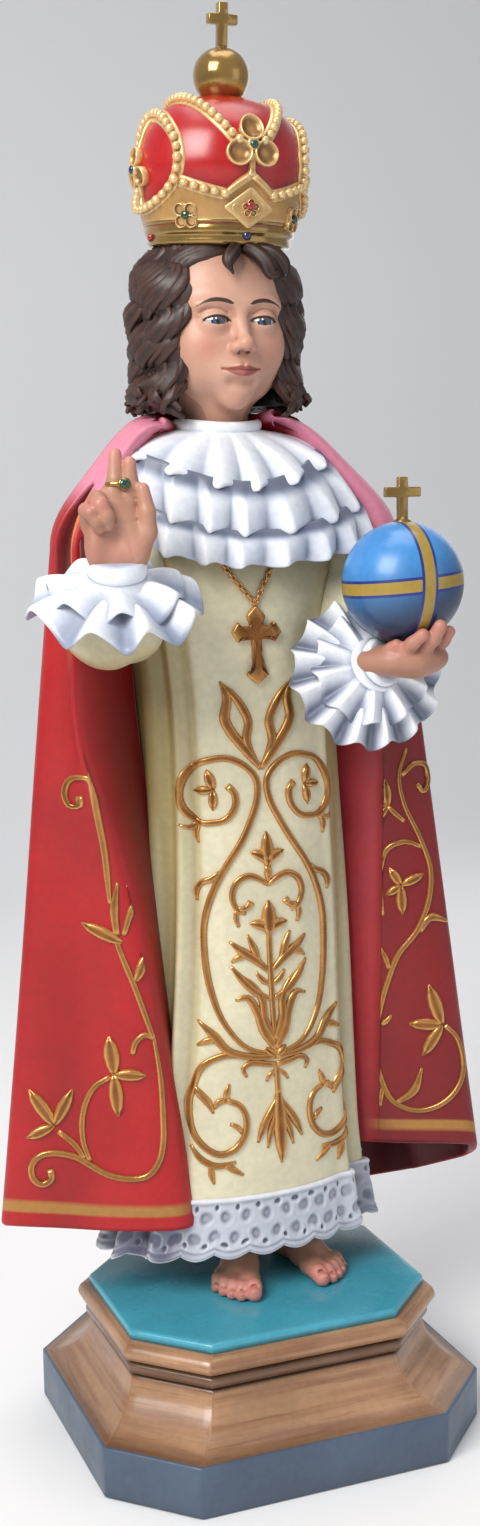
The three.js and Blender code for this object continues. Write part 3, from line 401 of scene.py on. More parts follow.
def paint(
    name, colour, layers=(), *, rough, rough_vary=0.08, mottle=(14, 0.1), fine=(160, 0.05), cavity_shade=None,
    edge=None, bump=(60, 0.0), metallic=0.0, coat=0.0, coat_rough=0.12, grain=None,
):
    """Painted surface. layers are (mask, colour) or (mask, colour, from, to), cavity (painted shade in
    hollows) and edge (a painted highlight on ridges) are (colour, strength, how bent the surface is), and
    mottle, fine and bump are (scale, strength)."""
    material = bpy.data.materials.new(name)
    material.use_nodes = True
    tree = material.node_tree
    nodes, link = tree.nodes, tree.links.new
    shader = nodes["Principled BSDF"]
    place = nodes.new("ShaderNodeTexCoord").outputs["Object"]

    def noise(scale, detail=3.0, vector=None, stretch=None):
        source = vector or place
        if stretch is not None:
            mapping = nodes.new("ShaderNodeMapping")
            mapping.inputs["Scale"].default_value = stretch
            link(source, mapping.inputs["Vector"])
            source = mapping.outputs["Vector"]
        texture = nodes.new("ShaderNodeTexNoise")
        texture.inputs["Scale"].default_value = scale
        texture.inputs["Detail"].default_value = detail
        link(source, texture.inputs["Vector"])
        return texture.outputs["Fac"]

    def ramp(value, low, high, start=0.0, end=1.0):
        node = nodes.new("ShaderNodeMapRange")
        node.interpolation_type = "SMOOTHSTEP"
        for key, number in (("From Min", low), ("From Max", high), ("To Min", start), ("To Max", end)):
            node.inputs[key].default_value = number
        link(value, node.inputs["Value"])
        return node.outputs["Result"]

    def mix(amount, below, above):
        node = nodes.new("ShaderNodeMix")
        node.data_type = "RGBA"
        for socket, value in zip((node.inputs[0], node.inputs[6], node.inputs[7]), (amount, below, above)):
            if isinstance(value, bpy.types.NodeSocket):
                link(value, socket)
            else:
                socket.default_value = (*value, 1)
        return node.outputs[2]

    base = linear(colour)
    darker, lighter = [c * (1 - mottle[1]) for c in base], [min(1, c * (1 + 0.7 * mottle[1])) for c in base]
    shade = mix(ramp(noise(mottle[0]), 0.35, 0.65), darker, lighter)
    if grain:
        rows = nodes.new("ShaderNodeAttribute")
        rows.attribute_name = "grain"
        streak = noise(1.0, 6.0, rows.outputs["Vector"], grain["stretch"])
        shade = mix(ramp(streak, 0.38, 0.66), shade, linear(grain["dark"]))
        vein = noise(1.0, 8.0, rows.outputs["Vector"], [s * 3.1 for s in grain["stretch"]])
        shade = mix(ramp(vein, 0.55, 0.72, 0.0, 0.6), shade, linear(grain["darker"]))
        shade = mix(ramp(noise(7.0), 0.52, 0.7, 0.0, 0.5), shade, linear(grain["light"]))
    for mask, over, *limits in layers:
        attribute = nodes.new("ShaderNodeAttribute")
        attribute.attribute_name = mask
        amount = ramp(attribute.outputs["Fac"], *limits) if limits else attribute.outputs["Fac"]
        shade = mix(amount, shade, linear(over))
    # Pointiness paints shade into the surface's hollows and a highlight onto its ridges.
    bent = nodes.new("ShaderNodeNewGeometry").outputs["Pointiness"]
    if cavity_shade:
        shade = mix(ramp(bent, cavity_shade[2], 0.5, cavity_shade[1], 0.0), shade, linear(cavity_shade[0]))
    if edge:
        shade = mix(ramp(bent, 0.5, edge[2], 0.0, edge[1]), shade, linear(edge[0]))
    speck = ramp(noise(fine[0], 4.0), 0.3, 0.7, 1 - fine[1], 1 + fine[1])
    node = nodes.new("ShaderNodeVectorMath")
    node.operation = "SCALE"
    link(shade, node.inputs[0])
    link(speck, node.inputs["Scale"])
    link(node.outputs[0], shader.inputs["Base Color"])
    rough_range = max(0.03, rough - rough_vary), rough + rough_vary
    link(ramp(noise(23, 4.0), 0.3, 0.7, *rough_range), shader.inputs["Roughness"])
    if bump[1]:
        node = nodes.new("ShaderNodeBump")
        node.inputs["Strength"].default_value = bump[1]
        node.inputs["Distance"].default_value = 0.001
        link(noise(bump[0], 4.0), node.inputs["Height"])
        link(node.outputs["Normal"], shader.inputs["Normal"])
    for key, value in (("Metallic", metallic), ("Coat Weight", coat), ("Coat Roughness", coat_rough)):
        shader.inputs[key].default_value = value
    return material


# The shade and deep layers are painted shade, deep the darker one for the deepest hollows.
CREAM = paint("cream_paint", (214, 207, 176), [("shade", (152, 134, 78)), ("deep", (88, 68, 30))],
              mottle=(9, 0.08), rough=0.38, coat=0.25, coat_rough=0.25, bump=(120, 0.06))
# The gold paints get painted shade in their hollows and a painted highlight on their ridges.
ORNAMENT = paint("ornament_gold_paint", (138, 88, 42), mottle=(40, 0.22), cavity_shade=((74, 42, 16), 0.9, 0.44),
                 edge=((210, 156, 92), 0.9, 0.56), rough=0.26, metallic=0.65, bump=(300, 0.12))
GOLD = paint("gold_paint", (190, 146, 88), mottle=(30, 0.14), cavity_shade=((96, 60, 28), 0.95, 0.45),
             edge=((236, 206, 150), 0.75, 0.57), rough=0.34, metallic=0.4, coat=0.2, bump=(260, 0.12))
BRASS = paint("rim_gold_paint", (164, 130, 70), mottle=(26, 0.2), rough=0.2, metallic=0.75, coat=0.5,
              coat_rough=0.08, bump=(180, 0.08))
# Cape red: shade is painted shade, light a painted highlight on the turned-back edges, and the dark crimson
# layer is the lining colour together with painted shade inside the sheet and in the shoulder fold.
RED = paint("cape_red_paint", (168, 10, 16), [("shade", (78, 3, 7)), ("light", (216, 132, 156)),
            ("gold", (166, 116, 52)), ("lining", (92, 10, 18)), ("amber", (216, 124, 58))],
            mottle=(7, 0.16), rough=0.5, coat=0.08, coat_rough=0.3, bump=(110, 0.05))
ENAMEL = paint("cap_red_enamel", (172, 10, 14), [("shade", (90, 4, 8))], mottle=(10, 0.1), rough=0.3,
               coat=0.5, coat_rough=0.26, bump=(60, 0.03))
# The lace paints get painted shade in their folds and hollows, and the hem lace a painted highlight on its
# ridges.
LACE = paint("lace_white_paint", (238, 241, 247), [("shade", (146, 156, 180)), ("deep", (84, 90, 108))],
             mottle=(12, 0.05), cavity_shade=((120, 126, 146), 0.85, 0.44), rough=0.4, coat=0.2, coat_rough=0.3,
             bump=(150, 0.05))
HEM_LACE = paint("hem_lace_paint", (196, 199, 210), [("shade", (96, 96, 116))], mottle=(12, 0.08),
                 cavity_shade=((92, 90, 112), 0.95, 0.46), edge=((244, 244, 250), 0.6, 0.56), rough=0.42,
                 bump=(150, 0.08))
# Skin: the second layer is painted shade under the chin, at the sides of the face, round the eyes and over
# the hands and feet; crease paints the mouth line and painted shade in the nostrils, and the hollows get
# painted shade.
SKIN = paint("skin_paint", (202, 155, 132), [("blush", (196, 112, 94)), ("tan", (146, 96, 74)),
             ("rose", (206, 132, 120)), ("lips", (160, 84, 76), 0.47, 0.55),
             ("crease", (104, 48, 42), 0.47, 0.54), ("line", (62, 40, 32), 0.48, 0.53)],
             mottle=(11, 0.05), rough=0.5, coat=0.1, coat_rough=0.35, bump=(200, 0.02), fine=(220, 0.02),
             cavity_shade=((140, 74, 56), 0.6, 0.45))
# Hair: shade is the dark shell under the locks, painted as shade; the hollows get painted shade and the
# ridges a painted highlight.
HAIR = paint("hair_paint", (36, 21, 18), [("shade", (16, 10, 9))], mottle=(24, 0.25),
             cavity_shade=((8, 5, 4), 1.0, 0.5), edge=((84, 54, 44), 0.7, 0.585), rough=0.5, coat=0.0,
             coat_rough=0.3, bump=(300, 0.1))
TURQUOISE = paint("slab_paint", (66, 160, 182), mottle=(13, 0.07), rough=0.3, coat=0.4, coat_rough=0.16,
                  bump=(90, 0.03))
WOOD = paint("plinth_wood_paint", (172, 132, 98), [("shade", (60, 36, 22))], mottle=(8, 0.16),
             grain={"stretch": (6.0, 110.0, 110.0), "dark": (140, 98, 70), "darker": (112, 76, 52),
                    "light": (192, 150, 116)},
             rough=0.36, coat=0.35, coat_rough=0.2, bump=(60, 0.1))
BLOCK = paint("block_paint", (74, 90, 110), mottle=(10, 0.12), rough=0.42, coat=0.15, bump=(140, 0.1))
NAVY, BAND_GOLD = (26, 46, 122), (160, 132, 54)
# The low layer is painted shade, darker towards the bottom and the right of the globe.
GLOBE = paint("globe_paint", (62, 132, 196), [("low", (8, 34, 68)), ("band", NAVY, 0.572, 0.566),
              ("band", BAND_GOLD, 0.548, 0.544), ("stripe", NAVY, 0.572, 0.566),
              ("stripe", BAND_GOLD, 0.548, 0.544)],
              mottle=(9, 0.07), rough=0.34, coat=0.35, coat_rough=0.2, bump=(60, 0.02))
# Eyes: lid is painted shade under the upper lid and glint a painted highlight.
EYE_WHITE = paint("eye_paint", (190, 182, 176), [("iris", (52, 82, 116), 0.48, 0.52),
                  ("ring", (34, 44, 62), 0.48, 0.56), ("pupil", (12, 12, 16), 0.48, 0.52),
                  ("lid", (110, 88, 84)), ("glint", (255, 255, 255), 0.48, 0.53)],
                  mottle=(9, 0.02), rough=0.12, coat=1.0, coat_rough=0.04, fine=(200, 0.01))
GEMS = {
    name: paint(name + "_stone_glass", colour, rough=0.08, rough_vary=0.02, coat=1.0, coat_rough=0.03)
    for name, colour in (("green", (8, 66, 44)), ("blue", (8, 26, 84)), ("red", (150, 30, 20)))
}


def piece(name, shape, material, replaces=(), lift=SLAB_TOP):
    """A shape in millimetres as an object of the scene, in metres."""
    points = np.vstack(shape.points) + [0, 0, lift]
    mesh = bpy.data.meshes.new(name)
    mesh.vertices.add(len(points))
    mesh.vertices.foreach_set("co", (points * METRES).ravel())
    sizes = np.concatenate([np.full(len(f), f.shape[1]) for f in shape.faces])
    corners = np.concatenate([f.ravel() for f in shape.faces])
    mesh.loops.add(len(corners))
    mesh.loops.foreach_set("vertex_index", corners)
    mesh.polygons.add(len(sizes))
    mesh.polygons.foreach_set("loop_start", np.concatenate([[0], np.cumsum(sizes)[:-1]]))
    mesh.polygons.foreach_set("loop_total", sizes)
    mesh.update(calc_edges=True)
    mesh.polygons.foreach_set("use_smooth", np.ones(len(sizes), bool))
    for mask, values in shape.masks.items():
        values = np.clip(np.concatenate(values), 0, 1)
        mesh.attributes.new(mask, "FLOAT", "POINT").data.foreach_set("value", values)
    if hasattr(shape, "grain"):
        layer = mesh.attributes.new("grain", "FLOAT_VECTOR", "POINT")
        layer.data.foreach_set("vector", (np.vstack(shape.grain) * METRES).ravel())
    mesh.materials.append(material)
    thing = bpy.data.objects.new(name, mesh)
    bpy.context.scene.collection.objects.link(thing)
    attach(thing, "root")
    if replaces:
        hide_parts(*replaces)


# Camera, light and floor
AZIMUTH, PITCH, ROLL = -0.3722, 0.141, -0.0176
CAMERA_PLACE = (-0.548, -1.3888, 0.794)
SENSOR, FOCAL_PIXELS, PICTURE_HEIGHT = 36, 1768, 1526
scene = bpy.context.scene
ahead = Vector((-math.sin(AZIMUTH) * math.cos(PITCH), math.cos(AZIMUTH) * math.cos(PITCH), -math.sin(PITCH)))
level = Vector((math.cos(AZIMUTH), math.sin(AZIMUTH), 0))
across = level * math.cos(ROLL) + level.cross(ahead) * math.sin(ROLL)
above = across.cross(ahead)
camera = bpy.data.objects.new("camera", bpy.data.cameras.new("camera"))
camera.data.sensor_width = SENSOR
camera.data.lens = FOCAL_PIXELS * SENSOR / PICTURE_HEIGHT
camera.data.clip_start, camera.data.clip_end = 0.05, 50
rows = [(across[k], above[k], -ahead[k], CAMERA_PLACE[k]) for k in range(3)]
camera.matrix_world = Matrix([*rows, (0, 0, 0, 1)])
scene.collection.objects.link(camera)
scene.camera = camera


LIGHTS = [
    ("key", (-1.9, -1.3, 2.3), 0.75, (1.5, 1.5), 84, (1.0, 0.985, 0.96)),
    ("fill", (2.0, -2.2, 1.1), 0.6, (1.6, 1.8), 7, (0.93, 0.96, 1.0)),
    ("top", (0.1, 0.2, 3.0), 0.6, (1.6, 1.6), 20, (1, 1, 1)),
    ("back", (1.6, 1.8, 1.6), 0.8, (1.6, 1.6), 5, (1, 1, 1)),
]
for name, place, aim, size, power, colour in LIGHTS:
    data = bpy.data.lights.new(name, "AREA")
    data.shape = "RECTANGLE"
    data.size, data.size_y = size
    data.energy, data.color = power, colour
    light = bpy.data.objects.new(name, data)
    light.location = place
    light.rotation_euler = (Vector((0, 0, aim)) - Vector(place)).to_track_quat("-Z", "Y").to_euler()
    scene.collection.objects.link(light)
scene.view_settings.view_transform = "Standard"
scene.world = bpy.data.worlds.new("studio")
scene.world.use_nodes = True
background = scene.world.node_tree.nodes["Background"]
background.inputs["Color"].default_value = (0.93, 0.95, 1.0, 1)
background.inputs["Strength"].default_value = 0.38

FLOOR_HALF, FLOOR_FRONT, FLOOR_BACK, BEND_RADIUS, WALL_TOP = 6, -4, 2.2, 1.4, 6
points = [(x, y, 0) for y in (FLOOR_FRONT, FLOOR_BACK) for x in (FLOOR_HALF, -FLOOR_HALF)]
for t in np.linspace(0.1, PI / 2, 14):
    place = FLOOR_BACK + BEND_RADIUS * math.sin(t), BEND_RADIUS - BEND_RADIUS * math.cos(t)
    points += [(x, *place) for x in (FLOOR_HALF, -FLOOR_HALF)]
points += [(x, FLOOR_BACK + BEND_RADIUS, WALL_TOP) for x in (FLOOR_HALF, -FLOOR_HALF)]
strips = [(2 * k + 1, 2 * k, 2 * k + 2, 2 * k + 3) for k in range(len(points) // 2 - 1)]
floor_mesh = bpy.data.meshes.new("floor")
floor_mesh.from_pydata(points, [], strips)
floor_mesh.polygons.foreach_set("use_smooth", [True] * len(strips))
floor = bpy.data.objects.new("floor", floor_mesh)
scene.collection.objects.link(floor)
backing = bpy.data.materials.new("floor_paper")
backing.use_nodes = True
paper = backing.node_tree.nodes["Principled BSDF"]
paper.inputs["Base Color"].default_value = (0.9, 0.9, 0.9, 1)
paper.inputs["Roughness"].default_value = 0.9
floor_mesh.materials.append(backing)
floor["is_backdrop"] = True


# Plinth and slab
PLINTH_WIDTH, PLINTH_DEPTH, PLINTH_CORNER = 344, 312, 62
BLOCK_HEIGHT, MOULDING_HEIGHT = 44, 71
INSET_SIDE, INSET_FRONT, CORNER_TAPER = 36, 43, 0.25
CORNER_EASE, SIDE_POINTS = 1.2, 12


def plinth_ring(share, z, more):
    """The eight sides' outline with slightly eased corners, and the grain's run along each side."""
    w = PLINTH_WIDTH / 2 - share * INSET_SIDE - more
    d = PLINTH_DEPTH / 2 - share * INSET_FRONT - more
    c = PLINTH_CORNER - CORNER_TAPER * (share * INSET_SIDE + more)
    quarter = [(w - c, -d), (w, -d + c), (w, d - c), (w - c, d)]
    corners = np.array(quarter + [(-x, -y) for x, y in quarter])
    points, grain = [], []
    for i, (a, b) in enumerate(zip(corners, np.roll(corners, -1, 0))):
        way = unit(b - a)
        for t in np.linspace(0, 1, SIDE_POINTS):
            p = lerp(a + way * CORNER_EASE, b - way * CORNER_EASE, t)
            points.append((*p, z))
            grain.append((p @ way + 400 * i, 37.0 * i, 0))
    return np.array(points), np.array(grain)


def plinth_shape(levels):
    """Solid through (share of inset, height, extra inset) levels, with grain that follows each side."""
    made = [plinth_ring(share, z, more) for share, z, more in levels]
    outline = np.array([(share * INSET_SIDE + more, z) for share, z, more in levels])
    shape = Shape().grid(np.stack([m[0] for m in made]))
    grain = np.stack([m[1] + [0, run, 0] for m, run in zip(made, lengths(outline))])
    shape.grain = [grain.reshape(-1, 3), np.zeros((2, 3))]
    return shape


def rounded_profile(stops, steps=9):
    """Levels along a smooth profile of (share, rise) stops."""
    return [tuple(p) for p in spline(stops, np.linspace(0, 1, steps * (len(stops) - 1) + 1))]


block = plinth_shape([(0, 0.6, 1.2), (0, 1.6, 0), (0, 20, 0), (0, 42.6, 0), (0, 43.7, 0.5), (0, 44, 1.6),
                      (0, 44, 30)])
piece("plinth_block", block, BLOCK, lift=0)

cove = rounded_profile([(0.06, 0.0), (0.34, 0.05), (0.66, 0.17), (0.9, 0.35), (1.02, 0.55)])
groove_1 = [(1.08, 0.56), (1.08, 0.585)]
lower_round = rounded_profile([(0.98, 0.59), (0.93, 0.62), (0.915, 0.665), (0.93, 0.71), (0.98, 0.74)], 4)
groove_2 = [(1.08, 0.745), (1.08, 0.77)]
upper_round = rounded_profile([(0.95, 0.775), (0.83, 0.8), (0.77, 0.88), (0.83, 0.965), (0.97, 1.0)], 6)
profile = [(0.02, -0.004)] + cove + groove_1 + lower_round + groove_2 + upper_round + [(1.3, 1.0)]
levels = [(share, BLOCK_HEIGHT + rise * MOULDING_HEIGHT, 0.0) for share, rise in profile]
moulding = plinth_shape([(0.2, 44.2, 0)] + levels)
rise = np.vstack(moulding.points)[:, 2]
# Painted shade in the grooves, in the recess between the rounds and at the foot of the moulding.
dark = hump(rise, 84.8, 1.6) + hump(rise, 98, 1.4) + 0.5 * hump(rise, 44, 3)
dark += 0.6 * between(rise, 78, 86, 94, 101)
moulding.masks["shade"] = [np.clip(dark, 0, 1)]
piece("plinth_moulding", moulding, WOOD, ["plinth"], lift=0)

edge = [(1, SLAB_BOTTOM, 0), (1, SLAB_TOP - 3, 0)]
edge += [(1, SLAB_TOP - 3 * (1 - math.sin(t)), 3 * (1 - math.cos(t))) for t in np.linspace(0.2, PI / 2, 6)]
slab = plinth_shape(edge + [(1, SLAB_TOP, 6)])
piece("slab", slab, TURQUOISE, lift=0)

# Gown
HEM_HEIGHT, LACE_TOP, NECKLINE = 38, 92, 735
GOWN_WIDE = [[38, 121], [79, 112], [140, 104], [330, 92], [480, 88], [580, 92], [650, 112], [700, 92],
             [735, 40]]
GOWN_FRONT = [[38, 62], [140, 62], [330, 61], [480, 63], [580, 66], [650, 64], [700, 56], [735, 34]]
GOWN_BACK = [[38, 72], [140, 66], [330, 58], [480, 54], [580, 56], [650, 60], [700, 56], [735, 38]]
GOWN_MIDDLE = [[38, -7], [140, -4], [330, 2], [480, -2], [580, -9], [650, -13], [735, -15]]
GOWN_MIDDLE_Y = 18
FOLDS = [(-1.02, 0.10, -5.0), (-0.86, 0.07, 3.5), (-0.72, 0.06, -3.5), (0.95, 0.10, -4.5), (0.76, 0.07, 3.0),
         (-0.30, 0.16, 1.2), (0.28, 0.18, 1.0)]


def gown_fold(angle, z):
    aside = smooth(np.abs(angle), 0.62, 1.05)
    low = smooth(NECKLINE - z, 60, NECKLINE - HEM_HEIGHT)
    pleats = 6.0 * aside * low * np.sin(16 * np.abs(angle) + 0.5 * np.sin(z / 90))
    broad = sum(depth * hump(angle, at, wide) for at, wide, depth in FOLDS)
    return pleats + broad * between(z, 60, 240, 560, 680)


def gown_point(angle, z, proud=0.0):
    angle, z = alike(angle, z)
    reach = np.where(np.cos(angle) > 0, curve_at(GOWN_FRONT, z), curve_at(GOWN_BACK, z))
    out = proud + gown_fold(angle, z)
    x = curve_at(GOWN_MIDDLE, z) + (curve_at(GOWN_WIDE, z) + out) * np.sin(angle)
    return np.stack([x, GOWN_MIDDLE_Y - (reach + out) * np.cos(angle), z], -1)


def gown_columns(reach, front, behind):
    """Angles round the gown, closer together in front than behind."""
    open_side = np.linspace(-reach, reach, front)
    far_side = np.linspace(reach, TURN - reach, behind)[1:-1]
    return (np.concatenate([open_side, far_side]) + PI) % TURN - PI


A, Z = np.meshgrid(gown_columns(1.35, 190, 80), np.linspace(LACE_TOP - 6, NECKLINE, 128))
# Painted shade in the folds, under the collar and round the sides, stronger higher up and darkest at the far
# sides.
shaded = 0.3 + 0.7 * smooth(Z, 300, 540)
hollow = np.clip(-gown_fold(A, Z) / 6, 0, 1) + 0.9 * shaded * smooth(np.abs(A), 0.75, 1.25)
under_collar = smooth(Z, 585, 650) * 0.7
left_side = shaded * (0.7 * smooth(-A, 0.55, 0.85) + 0.35 * smooth(A, 0.55, 0.85))
deep = 0.5 * shaded * smooth(np.abs(A), 1.0, 1.4)
shade = np.clip(0.62 * hollow + under_collar + left_side, 0, 0.9)
gown = Shape().grid(gown_point(A, Z), shade=shade, deep=deep)
piece("gown", gown, CREAM, ["figure"])

# Lace hem: two scalloped borders with rows of dimples and a raised rim
A, T = np.meshgrid(gown_columns(1.45, 440, 90), np.linspace(0, 1, 44))
Z = lerp(HEM_HEIGHT + 5 * (1 - np.abs(np.cos(12 * A))), LACE_TOP, T)
LACE_PITCH, LACE_REACH, LACE_RISE = 18.0, 112, 50
reach = LACE_REACH * A
holes, flower = np.zeros_like(A), np.zeros_like(A)
for share, aside, size in ((0.34, 0.0, 5.4), (0.68, 9.0, 5.4), (0.22, 9.0, 2.3), (0.84, 0.0, 2.6)):
    offset = (reach + aside + 1.3 * np.sin(0.31 * reach + 9 * share)) % LACE_PITCH - LACE_PITCH / 2
    holes += np.exp(-(((offset**2 + ((T - share) * LACE_RISE) ** 2) / size**2) ** 2))
for share, aside in ((0.34, 0), (0.68, 9)):
    away = ((reach + aside) % LACE_PITCH - LACE_PITCH / 2) ** 2 + ((T - share) * LACE_RISE) ** 2
    flower += np.exp(-((away - 52) / 22) ** 2)
rim = hump(T, 0.06, 0.045) + hump(T, 0.96, 0.035) + 0.5 * hump(T, 0.16, 0.02)
proud = 2.0 + 1.3 * rim - 2.0 * np.clip(holes, 0, 1) + 0.2 * flower
pleat = 0.55 * gown_fold(A, Z) * smooth(np.abs(A), 0.6, 0.9)
lace = gown_point(A, Z, proud + pleat)
inner = gown_point(A[::-1], Z[::-1], -4.0 + pleat[::-1])
# Painted shade in the dimples, round the sides and along the bottom, and on the inner face.
dark = 0.4 * np.clip(holes, 0, 1) + 0.55 * smooth(A, 0.8, 1.2) + 0.75 * smooth(-A, 0.45, 0.8)
dark = np.clip(dark + 0.35 * smooth(0.2 - T, 0, 0.2), 0, 1)
masks = np.concatenate([dark, np.full_like(dark[:2], 0.8)])
lace_rows = np.concatenate([lace, inner[:1], inner[-1:], lace[:1]])
shape = Shape().grid(lace_rows, ends=False, shade=np.concatenate([masks, masks[:1]]))
piece("hem_lace", shape, HEM_LACE)

# Raised ornament
ORNAMENT_MIDDLE = [[119, 9], [213, 5], [300, 1], [390, 0], [460, -5], [600, -10]]


def front_point(aside, z, proud):
    x = curve_at(ORNAMENT_MIDDLE, z) + aside
    share = (x - curve_at(GOWN_MIDDLE, z)) / curve_at(GOWN_WIDE, z)
    return gown_point(np.arcsin(np.clip(share, -0.98, 0.98)), z, proud)


def relief(shape, surface, path, widths, height=2.6, leaf=False, step=2.7):
    """A raised stroke laid on a surface. path is in the surface's two lengths and widths run along it."""
    line = path_points(path, step)
    along = unit(np.gradient(line, axis=0))
    aside = np.stack([-along[:, 1], along[:, 0]], 1)
    share = np.linspace(0, 1, len(line))
    stops = np.linspace(0, 1, len(widths))
    half = np.maximum(np.interp(share, stops, widths), 0.3) / 2
    span = np.array([-1, -0.93, -0.72, -0.4, 0, 0.4, 0.72, 0.93, 1])
    lift = np.array([-0.25, 0.45, 0.92, 1.0, 0.72 if leaf else 1.0, 1.0, 0.92, 0.45, -0.25])
    ends = np.clip(np.minimum(share, 1 - share) * len(line) * step / 3.0, 0.25, 1) ** 0.5
    fat = np.clip(half / 3.0, 0.55, 1.15) * ends
    place = line[:, None] + aside[:, None] * (half[:, None] * span)[:, :, None]
    top = surface(place[..., 0], place[..., 1], height * fat[:, None] * lift)
    low = line[:, None] + aside[:, None] * (half[:, None] * np.array([0.8, -0.8]))[:, :, None]
    under = surface(low[..., 0], low[..., 1], -2.2)
    shape.grid(np.concatenate([top, under], 1))


def lobe(shape, surface, root, tip, width, bend=0.0, height=2.8):
    """A pointed leaf from its root to its tip."""
    root, tip = np.array(root, float), np.array(tip, float)
    way = tip - root
    middle = (root + tip) / 2 + np.array([-way[1], way[0]]) * bend
    widths = [share * width for share in (0.35, 0.85, 1, 0.8, 0.12)]
    relief(shape, surface, [root, middle, tip], widths, height, leaf=True, step=1.6)


def raised(surface, by):
    """A surface a little above another one."""
    return lambda x, z, proud: surface(x, z, np.asarray(proud) + by)


STROKES = [
    ([(0, 460), (15, 480), (23, 491), (28, 502), (26, 520), (31, 534)], [3.5, 6.5, 7.5, 7.5, 7.5, 6.5, 1.5]),
    ([(2, 462), (11, 484), (9, 500), (15, 514), (22, 524), (31, 533)], [3, 5, 6.5, 6.5, 6.5, 5, 1.5]),
    ([(0, 213), (26, 223), (43, 246), (51, 274), (54, 305), (53, 333), (45, 360), (35, 379), (22, 399),
      (12, 418), (5, 436), (5, 452), (15, 464), (28, 470), (41, 469), (54, 464), (61, 453), (64, 437),
      (61, 425), (54, 417), (43, 416), (32, 419), (24, 430), (24, 441), (29, 447)],
     [3, 4.2, 4.8, 5, 5, 5, 5, 5, 4.8, 4.5, 4.5, 5.5]),
    ([(54, 417), (60, 412), (66, 415)], [4, 4, 2]),
    ([(54, 417), (57, 408), (56, 399)], [4, 4, 2]),
    ([(40, 374), (48, 368), (54, 366), (59, 359), (59, 350)], [3.5, 4.5, 4.5, 4, 2]),
    ([(0, 361), (10, 368), (18, 370), (27, 365), (31, 353), (27, 342), (20, 338)], [3, 4.5, 5, 5, 4.5, 4, 3]),
    ([(27, 342), (19, 343), (15, 348)], [4, 4, 5.5]),
    ([(27, 342), (28, 334), (26, 327)], [4, 4, 2.5]),
    ([(0, 285), (12, 297), (24, 306), (34, 315)], [3, 6, 7, 2]),
    ([(10, 296), (14, 308), (19, 320)], [4, 6, 2]),
    ([(20, 302), (27, 301), (33, 297)], [4, 5, 2]),
    ([(0, 262), (12, 268), (23, 279), (34, 294)], [3, 6, 6, 2]),
    ([(0, 275), (7, 279), (13, 287)], [3, 5, 2]),
    ([(0, 218), (10, 236), (14, 252), (22, 266), (32, 264)], [4, 6.5, 6.5, 6, 2]),
    ([(0, 226), (8, 246), (9, 262), (16, 276), (24, 284)], [4, 6, 6, 5, 2]),
    ([(0, 212), (20, 214), (41, 221), (52, 235), (64, 248)], [4, 5, 6, 7, 2]),
    ([(50, 231), (58, 230), (66, 226)], [5, 5, 2]),
    ([(12, 212), (30, 216), (45, 217), (63, 208), (72, 190), (76, 178), (75, 154), (67, 139), (55, 131),
      (42, 134), (32, 146), (30, 162), (35, 173), (46, 178)], [3, 4.5, 5, 5.2, 5.2, 5, 5, 5, 5, 4.6, 4.2]),
    ([(46, 178), (45, 184), (42, 192)], [4, 5, 2]),
    ([(46, 178), (52, 177), (56, 171)], [4, 5, 2]),
    ([(73, 193), (66, 184), (60, 176), (57, 167)], [3, 6, 6, 2]),
    ([(34, 148), (38, 154), (44, 157)], [3, 4.5, 2.5]),
    ([(77, 140), (70, 128), (58, 121), (41, 123)], [2.5, 5, 5, 2.5]),
    ([(62, 122), (62, 114), (60, 105)], [4, 5, 2]),
    ([(52, 122), (44, 117), (35, 111)], [4, 5, 2]),
    ([(0, 205), (12, 207), (22, 209), (30, 204), (27, 197)], [4, 4.5, 4.5, 4, 2.5]),
    ([(0, 200), (6, 197), (10, 191)], [3, 3.5, 2]),
    ([(0, 176), (8, 164), (15, 152), (21, 138)], [3, 5.5, 6, 2]),
    ([(0, 178), (4, 160), (9, 146), (12, 132)], [3, 5, 5, 2]),
]
gold = Shape()
for path, widths in STROKES:
    for side in (1, -1):
        relief(gold, front_point, [(side * a, z) for a, z in path], [1.2 * w for w in widths])
for side in (1, -1):
    for tip, width in (((56, 443), 8), ((44, 461), 9), ((42, 426), 8)):
        lobe(gold, front_point, (side * 40, 444), (side * tip[0], tip[1]), width)
    lobe(gold, front_point, (0, 380), (side * 15, 390), 9, side * 0.12)
    lobe(gold, front_point, (0, 322), (side * 17, 329), 9, side * 0.12)
    lobe(gold, front_point, (0, 212), (side * 10, 221), 7)
lobe(gold, front_point, (0, 376), (0, 407), 12)
lobe(gold, front_point, (0, 318), (0, 348), 14)
lobe(gold, front_point, (0, 182), (0, 117), 13)
relief(gold, front_point, [(0, 363), (0, 378)], [3, 7, 6])
relief(gold, front_point, [(0, 214), (0, 250), (0, 290), (0, 322)], [4, 5, 5, 5])
relief(gold, front_point, [(0, 206), (0, 192), (0, 178)], [4, 5, 5])
piece("gown_ornament", gold, ORNAMENT)

